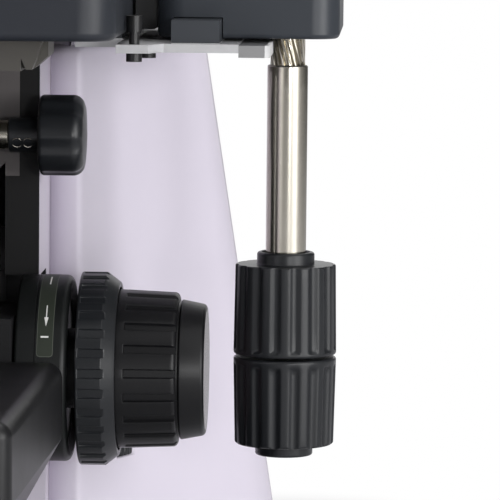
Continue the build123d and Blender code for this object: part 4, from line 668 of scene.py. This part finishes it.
# %% [markdown]
# ## Surfaces from grids
# Every piece from here on is one grid of points, worked out as whole arrays: rows run
# along the piece, columns round it. A subdivided cage could give much the same shapes,
# but a grid holds each radius and groove at its real size. The faces are turned outward
# by comparing them with the middle of the piece, and a fan of triangles closes an end.

# %% Grid helper
TOP = (0.0, 0.0, 1.0)
FRONT = (0.0, -1.0, 0.0)
RIGHT = (1.0, 0.0, 0.0)


def skin(name, grid, body, slot, start_cap=True, end_cap=True, wrap=True, sharp=35.0, look=None, hole=None):
    """A quad between each four neighbours of a grid in mm; a piece with a hole in it has no caps."""
    rows, columns = grid.shape[:2]
    count = columns if wrap else columns - 1
    row, column = np.meshgrid(np.arange(rows - 1), np.arange(count), indexing="ij")
    after = (column + 1) % columns
    low, high = row * columns, (row + 1) * columns
    quads = np.stack([low + column, low + after, high + after, high + column], -1).reshape(-1, 4)
    points = grid.reshape(-1, 3) * MM
    fans = []
    ring = np.arange(columns)
    for wanted, first, turn in ((start_cap, 0, -1), (end_cap, (rows - 1) * columns, 1)):
        if wanted:
            pole = np.full(columns, len(points))
            points = np.vstack([points, points[first:first + columns].mean(0)])
            fans.append(np.stack([first + ring, first + (ring + 1) % columns, pole], -1)[:, ::turn])
    corner = points[quads]
    centre = corner.mean(1)
    normal = np.cross(corner[:, 1] - corner[:, 0], corner[:, 3] - corner[:, 0])
    turn = -1 if ((centre - points.mean(0)) * normal).sum() < 0 else 1
    if hole is not None:
        used, quads = np.unique(quads[~hole(centre / MM)], return_inverse=True)
        points, quads = points[used], quads.reshape(-1, 4)
    faces = [face for part in [quads] + fans for face in part[:, ::turn].tolist()]
    mesh = bpy.data.meshes.new(name)
    mesh.from_pydata(points.tolist(), [], faces)
    mesh.shade_smooth()
    mesh.set_sharp_from_angle(angle=math.radians(sharp))
    mesh.materials.append(FINISHES[look or slot])
    piece = bpy.data.objects.new(name, mesh)
    bpy.context.scene.collection.objects.link(piece)
    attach(piece, body)
    print("made", name, len(faces), "faces")
    return piece


def rounded(stops, radii, steps=7):
    """Stops joined by lines; each corner becomes an arc about a centre on the angle's bisector."""
    stops = [np.array(stop, float) for stop in stops]
    out = [stops[0]]
    for before, here, after, radius in zip(stops[:-2], stops[1:-1], stops[2:], radii):
        if radius <= 0:
            out.append(here)
            continue
        a = (before - here) / np.linalg.norm(before - here)
        b = (after - here) / np.linalg.norm(after - here)
        half = math.acos(float(np.clip(a @ b, -1, 1))) / 2
        centre = here + (a + b) / np.linalg.norm(a + b) * radius / math.sin(half)
        first = here + a * radius / math.tan(half) - centre
        last = here + b * radius / math.tan(half) - centre
        share = np.linspace(0, 1, steps)[:, None]
        swing = first * (1 - share) + last * share
        swing = swing / np.linalg.norm(swing, axis=1)[:, None] * radius
        out.extend(list(centre + swing))
    out.append(stops[-1])
    return np.array(out)


print("axes: top", TOP, "front", FRONT, "right", RIGHT)

# %% [markdown]
# ## Turned pieces and the brightness wheel
# The wheel that sets the lamp's brightness comes through a slot in the right shell with
# its fine teeth. A Screw modifier would turn a profile too, but the teeth need a radius
# that also changes with the angle. So a turned piece is a radius over distance and angle.

# %% Brightness wheel
WHEEL_PLACE = (88.2, 13.1)


def spun(radius, distance, angles, place, along, first, second):
    """place + distance * along + radius * (cos(angle) * first + sin(angle) * second)."""
    along, first, second = (np.array(v, float) for v in (along, first, second))
    ring = np.cos(angles)[:, None] * first + np.sin(angles)[:, None] * second
    return np.array(place, float) + distance[:, None, None] * along + radius[..., None] * ring


def plain_turn(profile, columns, place, along, first, second):
    """The same radius at every angle, with as many columns as asked."""
    angles = np.linspace(0, 2 * math.pi, columns, endpoint=False)
    return spun(np.repeat(profile[:, :1], columns, 1), profile[:, 1], angles, place, along, first, second)


def flutes(count, half_angle, phase, steps=22, soft=0.035):
    """Depth share 1 - (angle off the middle / half angle)^2, cut off at 0 with a soft lip."""
    pitch = 2 * math.pi / count
    off = np.linspace(-pitch / 2, pitch / 2, steps, endpoint=False)
    height = 1 - (off / half_angle) ** 2
    share = (height + np.sqrt(height ** 2 + 4 * soft)) / 2 - soft
    share = np.clip(share / share.max(), 0, 1)
    angles = phase + off[None, :] + pitch * np.arange(count)[:, None]
    return angles.ravel(), np.tile(share, count)


def wheel_rim():
    """A wide rim above a smaller hub; the teeth lower the rim alone, by 0.35 mm."""
    stops = [(3.0, 50.4), (8.2, 50.4), (8.2, 58.6), (10.3, 58.6), (10.3, 61.6), (3.0, 61.6)]
    profile = rounded(stops, [0.3, 0.0, 0.4, 0.4], 4)
    angles, share = flutes(30, math.radians(3.0), 0.0, 8)
    radius = profile[:, :1] - 0.35 * share[None, :] * (profile[:, :1] > 9.8)
    grid = spun(radius, profile[:, 1], angles, (*WHEEL_PLACE, 0.0), TOP, RIGHT, (0, 1, 0))
    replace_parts(skin("wheel_rim", grid, "brightness", "knob_black"), "brightness_wheel")


wheel_rim()

# %% [markdown]
# ## The pale side shells
# Each side of the stand is covered by one moulded skin. Seen from above it starts with a
# narrow front face, turns a tight corner, runs out and back along a flank, and bends
# softly to the rear. The CAD shell shows a facet at each bend. Here each row of the grid
# is such a plan, narrower with height, and the last rows curl over into a flat rim. A
# Solidify modifier gives the wall. The right shell has a slot for the wheel.

# %% Side shells
DECK, SHELL_TOP = 12.0, 190.0
SHELL_INNER, SHELL_CORNER = 74.6, 84.2
WIDE_LOW, WIDE_TOP = 143.0, 115.4
SHELL_FRONT_Y, BEND_Y, SHELL_BACK_Y = -17.0, 90.0, 109.7
CORNER_RADIUS, BEND_RADIUS, CURL = 2.6, 60.0, 3.0
SHELL_WALL = 3.5
SLOT_LOW, SLOT_HIGH, SLOT_REACH = 58.2, 62.1, 10.9
BEND_STEPS, FLANK_STEPS = 9, 120


def shell_plan(height, lowered):
    """(x, y) of the right shell at a height; the width falls evenly, and the normal moves it inward."""
    share = (height - DECK) / (SHELL_TOP - DECK)
    wide = WIDE_LOW + (WIDE_TOP - WIDE_LOW) * share
    stops = [(SHELL_INNER, SHELL_FRONT_Y), (SHELL_CORNER, SHELL_FRONT_Y), (wide, BEND_Y), (wide, SHELL_BACK_Y)]
    plan = rounded(stops, [CORNER_RADIUS, BEND_RADIUS], BEND_STEPS)
    before, after = plan[:BEND_STEPS + 1], plan[BEND_STEPS + 1:]
    plan = np.vstack([before, np.linspace(before[-1], after[0], FLANK_STEPS)[1:-1], after])
    along = np.gradient(plan, axis=0)
    normal = np.stack([along[:, 1], -along[:, 0]], 1)
    normal /= np.linalg.norm(normal, axis=1)[:, None]
    return plan - normal * lowered


def wheel_slot(centre):
    """True between two heights and within a reach of the wheel's axis."""
    near = np.hypot(centre[:, 0] - WHEEL_PLACE[0], centre[:, 1] - WHEEL_PLACE[1]) < SLOT_REACH
    return near & (centre[:, 2] > SLOT_LOW) & (centre[:, 2] < SLOT_HIGH)


def side_shell(side, name, node, hole=None):
    """Plans at rising heights; in the curl, height and inset follow the sine and cosine of a turn."""
    curl_low = SHELL_TOP - CURL
    flat = np.unique(np.concatenate([np.linspace(DECK, curl_low, 24), [SLOT_LOW, SLOT_HIGH]]))
    turn = np.linspace(0.2, math.pi / 2, 7)
    height = np.concatenate([flat, curl_low + CURL * np.sin(turn)])
    inset = np.concatenate([np.zeros(len(flat)), CURL - CURL * np.cos(turn)])
    plans = np.stack([shell_plan(level, inward) for level, inward in zip(height, inset)])
    level = np.repeat(height[:, None, None], plans.shape[1], 1)
    grid = np.concatenate([plans, level], -1)
    rim = grid[-1:].copy()
    rim[..., 0] = SHELL_INNER
    grid = np.concatenate([grid, rim])
    grid[..., 0] *= side
    piece = skin(name, grid, "stand", "pale_shell", False, False, wrap=False, sharp=50.0, hole=hole)
    wall = piece.modifiers.new("wall", "SOLIDIFY")
    wall.thickness = SHELL_WALL * MM
    wall.offset = -1.0
    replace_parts(piece, node)


side_shell(1, "shell_skin_right", "shell_right", wheel_slot)
side_shell(-1, "shell_skin_left", "shell_left")

# %% [markdown]
# ## The fine focus knobs
# The fine knob is a slightly tapered drum with twenty narrow grooves for a finger. Each
# is closed at its inner end and runs out over the drum's outer edge. A Boolean would cut
# them one by one. Here the outer radius is lowered where a mask is 1, and the piece takes
# the smaller of that and its own profile, so a groove runs out over a chamfer just as a
# cutter would leave it. A plain cap closes the drum, and its flat end catches the room.

# %% Fine focus knobs
FOCUS_Y, FOCUS_Z = -60.0, 95.0
LIP = np.array([-0.15, -0.06, 0.0, 0.07, 0.18, 0.36])
LIP_SHARE = np.array([1.0, 0.86, 0.42, 0.14, 0.03, 0.0])
FINE_START, FINE_RADIUS = 98.5, 23.9
DRUM_LENGTH, DRUM_TAPER = 18.9, 0.8
FINE_GROOVE_START, FINE_GROOVE_DEPTH = 3.5, 0.95


def with_stops(profile, places, on=0.0):
    """The profile with extra points at the given distances, where its radius is at least `on`."""
    out = [profile[0]]
    for first, last in zip(profile[:-1], profile[1:]):
        span = last[1] - first[1]
        if span > 1e-9 and min(first[0], last[0]) >= on:
            inside = sorted(p for p in places if first[1] + 1e-6 < p < last[1] - 1e-6)
            out += [first + (last - first) * (p - first[1]) / span for p in inside]
        out.append(last)
    return np.array(out)


def grooves(radius, count, width, phase, land=3):
    """Angles of lip, floor, lip and land, repeated round; the depth share falls over each lip."""
    pitch = 2 * math.pi / count
    side = width / 2 + LIP
    one = np.concatenate([-side[::-1], [0.0], side]) / radius
    share = np.concatenate([LIP_SHARE[::-1], [1.0], LIP_SHARE, np.zeros(land)])
    one = np.concatenate([one, np.linspace(one[-1], pitch + one[0], land + 2)[1:-1]])
    angles = phase + one[None, :] + pitch * np.arange(count)[:, None]
    return angles.ravel(), np.tile(share, count)


def closed_start(distance, start):
    """0 before the start of a groove and 1 after it, over a rounded end wall."""
    return np.interp(distance, start - LIP[::-1], LIP_SHARE[::-1])


def lowered(profile, outer, depth, share):
    """The smaller of the profile's radius and outer - depth(distance) * share(angle)."""
    return np.minimum(profile[:, :1], np.reshape(outer, (-1, 1)) - depth[:, None] * share[None, :])


def fine_knob(side, name, node):
    """A drum whose radius falls evenly with distance, then the cap; a separate disc is the end."""
    drum = rounded([(3.4, 0.0), (FINE_RADIUS, 0.0), (23.1, DRUM_LENGTH), (20.4, DRUM_LENGTH)], [1.2, 1.5])
    drum = with_stops(drum, [*(FINE_GROOVE_START - LIP[::-1]), *np.linspace(5, 17, 5)], 20.0)
    cap = [(20.4, DRUM_LENGTH), (20.2, 19.5), (21.1, 19.5), (19.6, 27.1), (18.0, 27.1)]
    cap = rounded(cap, [0.0, 0.5, 1.4], 9)
    profile = np.vstack([drum, cap[1:]])
    angles, share = grooves(FINE_RADIUS, 20, 2.5, math.radians(14.6))
    distance = profile[:, 1]
    outer = FINE_RADIUS - DRUM_TAPER * distance / DRUM_LENGTH
    depth = FINE_GROOVE_DEPTH * closed_start(distance, FINE_GROOVE_START) * (distance < DRUM_LENGTH + 0.05)
    place = (side * FINE_START, FOCUS_Y, FOCUS_Z)
    grid = spun(lowered(profile, outer, depth, share), distance, angles, place, (side, 0, 0), TOP, FRONT)
    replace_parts(skin(name, grid, "fine_drive", "fine_knob", start_cap=False, end_cap=False), node)
    disc = np.array([(18.1, 27.1), (17.0, 27.12), (9.0, 27.12), (1.0, 27.12)])
    grid = plain_turn(disc, 96, place, (side, 0, 0), TOP, FRONT)
    skin(name + "_end", grid, "fine_drive", "fine_knob", start_cap=False, look="polished_end")


fine_knob(1, "fine_drum_right", "fine_knob_right")
fine_knob(-1, "fine_drum_left", "fine_knob_left")

# %% [markdown]
# ## The coarse focus rings
# The larger ring moves the objectives quickly and is held by a whole hand. Its thirty
# shallow recesses run out over the chamfer, which is why the chamfer's edge looks
# scalloped. The same mask as for the fine knob cuts them, at a lower depth.

# %% Coarse focus rings
COARSE_START, COARSE_RADIUS = 88.0, 29.0
RECESS_START, RECESS_DEPTH = 0.9, 0.65


def coarse_ring(side, name, node):
    """A flat rim, a chamfer and a raised inner edge; the recesses lower all but the bore."""
    radius = COARSE_RADIUS
    stops = [(7.1, 0.0), (radius, 0.0), (radius, 7.7), (26.0, 11.6), (24.6, 11.6), (24.6, 10.4), (7.1, 10.4)]
    profile = rounded(stops, [0.6, 0.5, 0.35, 0.15, 0.0])
    extra = [*(RECESS_START - LIP[::-1]), 3.0, 5.0, 7.9, 8.1, 8.3, 8.5, 8.7, 9.0, 9.5, 10.5]
    profile = with_stops(profile, extra, 25.9)
    angles, share = grooves(radius, 30, 2.7, math.radians(2.2), 2)
    distance = profile[:, 1]
    depth = RECESS_DEPTH * closed_start(distance, RECESS_START)
    place = (side * COARSE_START, FOCUS_Y, FOCUS_Z)
    grid = spun(lowered(profile, radius, depth, share), distance, angles, place, (side, 0, 0), TOP, FRONT)
    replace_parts(skin(name, grid, "coarse_drive", "knob_black", start_cap=False, end_cap=False), node)


coarse_ring(1, "coarse_grip_right", "coarse_ring_right")
coarse_ring(-1, "coarse_grip_left", "coarse_ring_left")

# %% [markdown]
# ## The torque ring
# The ring sets how stiffly the coarse focus turns. It has a fine groove round it, a
# rounded outer edge and a recess behind that edge. It is a plain turned profile, with
# enough columns that the edge stays round in a close view.

# %% Torque ring
RING_START, RING_RADIUS = 70.0, 28.0


def torque_ring():
    """The profile, groove and recess included, at the same radius all round."""
    stops = [
        (12.1, 0.0), (28.0, 0.0), (28.0, 5.9), (27.7, 5.95), (27.7, 6.25), (28.0, 6.3),
        (28.0, 15.5), (25.2, 15.5), (24.8, 13.4), (12.1, 13.4),
    ]
    profile = rounded(stops, [1.0, 0.0, 0.0, 0.0, 0.0, 2.0, 0.3, 0.0])
    grid = plain_turn(profile, 180, (RING_START, FOCUS_Y, FOCUS_Z), RIGHT, TOP, FRONT)
    piece = skin("torque_grip", grid, "tension_ring", "torque_plastic", start_cap=False, end_cap=False)
    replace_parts(piece, "torque_ring")


torque_ring()

# %% [markdown]
# ## The marks on the torque ring
# A printed strip lies on the ring: a thin film with a lighter outline, an index bar, an
# arrow and a line in white. An image could carry them, but films that follow the ring
# stay sharp at any distance. Each is given by its angles from the top, in degrees, and
# by a half width that is a function of the share of its length.

# %% Printed marks
ACROSS = np.array([-1.0, -1.0, -0.5, 0.0, 0.5, 1.0, 1.0])
LIFTED = np.array([0.0, 1.0, 1.0, 1.0, 1.0, 1.0, 0.0])


def on_ring(name, middle, start, end, half_width, height, look, rows=60):
    """x = middle + half width * across; the angle goes evenly from start to end over the rows."""
    share = np.linspace(0, 1, rows)
    angle = np.radians(start + (end - start) * share)[:, None]
    x = middle + half_width(share)[:, None] * ACROSS[None, :]
    radius = RING_RADIUS + height * np.repeat(LIFTED[None, :], rows, 0)
    grid = np.stack([x, FOCUS_Y - radius * np.sin(angle), FOCUS_Z + radius * np.cos(angle)], -1)
    skin(name, grid, "tension_ring", "torque_plastic", False, False, wrap=False, sharp=80.0, look=look)


def round_ended(half, length, radius):
    """A half width that falls along a quarter circle at both ends of the length."""
    def width(share):
        inward = np.clip(radius - np.minimum(share, 1 - share) * length, 0, radius)
        return half - radius + np.sqrt(np.clip(radius ** 2 - inward ** 2, 0, None))
    return width


def even(half):
    """The same half width all along."""
    return lambda share: half + 0 * share


def arrow(share):
    """A thin shaft for six tenths of the length, then a head that narrows evenly to a point."""
    return np.where(share < 0.6, 0.16, 0.62 * (1 - share) / 0.4 + 0.01)


on_ring("strip_outline", 79.15, -46, 76.6, round_ended(2.42, 60.0, 1.0), 0.03, "strip_edge", 240)
on_ring("strip_face", 79.15, -45.6, 76.2, round_ended(2.24, 59.5, 0.85), 0.06, "strip_face", 240)
on_ring("index_bar", 79.0, 63.6, 64.7, even(1.15), 0.09, "mark_white", 4)
on_ring("index_arrow", 79.25, 42.0, 57.2, arrow, 0.09, "mark_white", 61)
on_ring("index_line", 79.4, 8.0, 21.0, even(0.2), 0.09, "mark_white", 16)

# %% [markdown]
# ## The selector knob
# The light path selector has a moulded knob with six shallow flutes. Two socket screws in
# its neck, which face the user, hold it on a steel shaft. All four are turned pieces. The
# flutes fade toward the axis, because a mould has to let go of the end face.

# %% Selector knob
SELECTOR_Z = 165.0
SELECTOR_START = 66.0
NECK_END = 9.1


def selector_grip():
    """Neck and knob in one profile; a flute's depth grows with the radius from 7 to 12.1 mm."""
    stops = [(2.6, 0.0), (5.3, 0.0), (5.3, 9.2), (12.1, 9.2), (12.1, 22.4), (4.0, 23.0), (0.6, 23.2)]
    profile = with_stops(rounded(stops, [0.5, 0.4, 1.4, 3.4, 8.0], 9), [2, 4, 6, 8, 12, 14, 16, 18], 5.0)
    angles, share = flutes(6, math.radians(12.0), math.radians(103.7), 28)
    radius, distance = profile[:, :1], profile[:, 1]
    reach = np.clip((radius - 7.0) / 5.1, 0, 1) * (distance[:, None] > NECK_END)
    place = (SELECTOR_START, FOCUS_Y, SELECTOR_Z)
    grid = spun(radius - 0.75 * reach * share[None, :], distance, angles, place, RIGHT, TOP, FRONT)
    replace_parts(skin("selector_grip", grid, "selector", "knob_black", start_cap=False), "selector_knob")


def grub_screw(name, x, below):
    """A bevelled rim round a hollow, on an axis turned down from the front by an angle."""
    tilt = math.radians(below)
    out = (0.0, -math.cos(tilt), -math.sin(tilt))
    side = (0.0, -math.sin(tilt), math.cos(tilt))
    profile = [(1.6, 4.55), (1.6, 5.19), (1.5, 5.27), (1.32, 5.21), (1.25, 4.65), (1.2, 3.95), (0.1, 3.85)]
    grid = plain_turn(np.array(profile), 36, (x, FOCUS_Y, SELECTOR_Z), out, RIGHT, side)
    skin(name, grid, "selector", "bright_steel", start_cap=False)


def selector_sleeve():
    """A short tube round the shaft, rounded at both ends."""
    profile = rounded([(2.7, 58.2), (4.3, 58.2), (4.3, 65.9), (2.7, 65.9)], [0.3, 0.3], 5)
    grid = plain_turn(profile, 72, (0.0, FOCUS_Y, SELECTOR_Z), RIGHT, TOP, FRONT)
    skin("selector_sleeve", grid, "selector", "bright_steel", False, False)


selector_grip()
grub_screw("grub_screw_1", 68.7, 24.0)
grub_screw("grub_screw_2", 72.0, 24.0)
selector_sleeve()

# %% [markdown]
# ## The stage control knobs
# Two knobs on one axis move the specimen in both directions. They are nearly a pair:
# each has sixteen flutes, cut by a round tool, that run out at one end and stop short of
# a plain rounded band at the other. One function makes both. It takes the profile, where
# the flutes start and which way they run, and lets their depth rise over 1.1 mm.

# %% Stage control knobs
CONTROL = (149.03, -60.0)
UPPER_LOW, LOWER_LOW = 100.3, 73.2


def control_knob(low, stops, radii, extra, outer, from_end):
    """Outer radius from one value to another over a length; the depth is a power of the run-in."""
    profile = with_stops(rounded(stops, radii), extra, 8.6)
    angles, share = flutes(16, math.radians(6.2), math.radians(13.1))
    distance = profile[:, 1]
    start_radius, change, length = outer
    start, way, end = from_end
    depth = 0.85 * np.clip(way * (distance - start) / 1.1, 0, 1) ** 0.6 * (way * distance < way * end)
    radius = lowered(profile, start_radius + change * distance / length, depth, share)
    return spun(radius, distance, angles, (*CONTROL, low), TOP, FRONT, RIGHT)


def upper_knob():
    """Wider at its foot, with a collar round the shaft on top."""
    stops = [
        (6.0, 0.0), (15.4, 0.0), (15.0, 27.0), (8.6, 27.0), (8.6, 30.7), (7.3, 30.7), (6.9, 29.2), (6.4, 29.2),
    ]
    extra = [1.2, 1.5, 1.8, 2.1, 2.6, 8, 16, 22]
    radii = [0.8, 0.5, 0.4, 0.9, 0.3, 0.2]
    grid = control_knob(UPPER_LOW, stops, radii, extra, (15.4, -0.4, 27.0), (1.2, 1, 27.1))
    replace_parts(skin("y_grip", grid, "y_control", "knob_black", start_cap=False, end_cap=False), "y_knob")


def lower_knob():
    """Wider at its top, with a small boss below."""
    stops = [(0.4, -3.4), (8.6, -3.4), (8.6, 0.0), (14.8, 0.0), (15.4, 26.4), (3.3, 26.4)]
    extra = [3, 8, 16, 22, 23.2, 23.6, 24.0, 24.3, 24.6]
    grid = control_knob(LOWER_LOW, stops, [0.7, 0.4, 0.9, 0.8], extra, (14.8, 0.6, 26.4), (24.4, -1, -0.1))
    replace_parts(skin("x_grip", grid, "x_control", "knob_black", end_cap=False), "x_knob")


upper_knob()
lower_knob()

# %% [markdown]
# ## The control shaft
# The ground steel tube shows long straight reflections, which facets would break up. A
# smooth turned skin, 0.03 mm proud of the CAD tube, covers it below its toothed end.

# %% Control shaft
TUBE_LOW, TUBE_TOP = 129.0, 186.8


def shaft_skin():
    """One radius from end to end, closed in at the ends."""
    stops = [(5.2, TUBE_LOW), (6.03, TUBE_LOW), (6.03, TUBE_TOP - 0.02), (5.0, TUBE_TOP + 0.02)]
    profile = with_stops(rounded(stops, [0.0, 0.5], 5), [140, 150, 160, 170, 180], 6.0)
    grid = plain_turn(profile, 120, (*CONTROL, 0.0), TOP, FRONT, RIGHT)
    skin("shaft_tube", grid, "y_control", "bright_steel", False, False)


shaft_skin()

# %% [markdown]
# ## The carriage flange
# A narrow black bar joins the box that holds the controls to the bar above the stage. It
# is a cast edge, so a rounded section drawn along a line is enough. Its front end is
# slightly smaller, which reads as a bevel.

# %% Carriage flange


def carriage_flange():
    """A rounded section in (x, z), scaled about its middle, at each y along the bar."""
    corners = [(103.9, 197.2), (110.5, 197.2), (110.5, 211.8), (103.9, 211.8)]
    section = rounded([(107.0, 197.2)] + corners[1:] + [corners[0], (107.0, 197.2)], [1.2] * 4, 6)[:-1]
    depth = np.array([-66.0, -65.4, -40.0, -10.0, 2.0])
    size = np.array([0.985, 1.0, 1.0, 1.0, 1.0])
    middle = np.array([107.2, 204.5])
    flat = middle + (section[None] - middle) * size[:, None, None]
    grid = np.stack([flat[..., 0], np.repeat(depth[:, None], len(section), 1), flat[..., 1]], -1)
    skin("carriage_flange", grid, "y_carriage", "black_casing")


carriage_flange()

# %% [markdown]
# ## Sizes
# The finished model has to fill the same box as the CAD model, so that it can stand in
# for it. Both boxes are measured and printed, in metres.

# %% Sizes and finish
visual_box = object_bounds()
for label, box in (("CAD box", cad_box), ("visual box", visual_box)):
    print(label, [[round(v, 4) for v in corner] for corner in box])
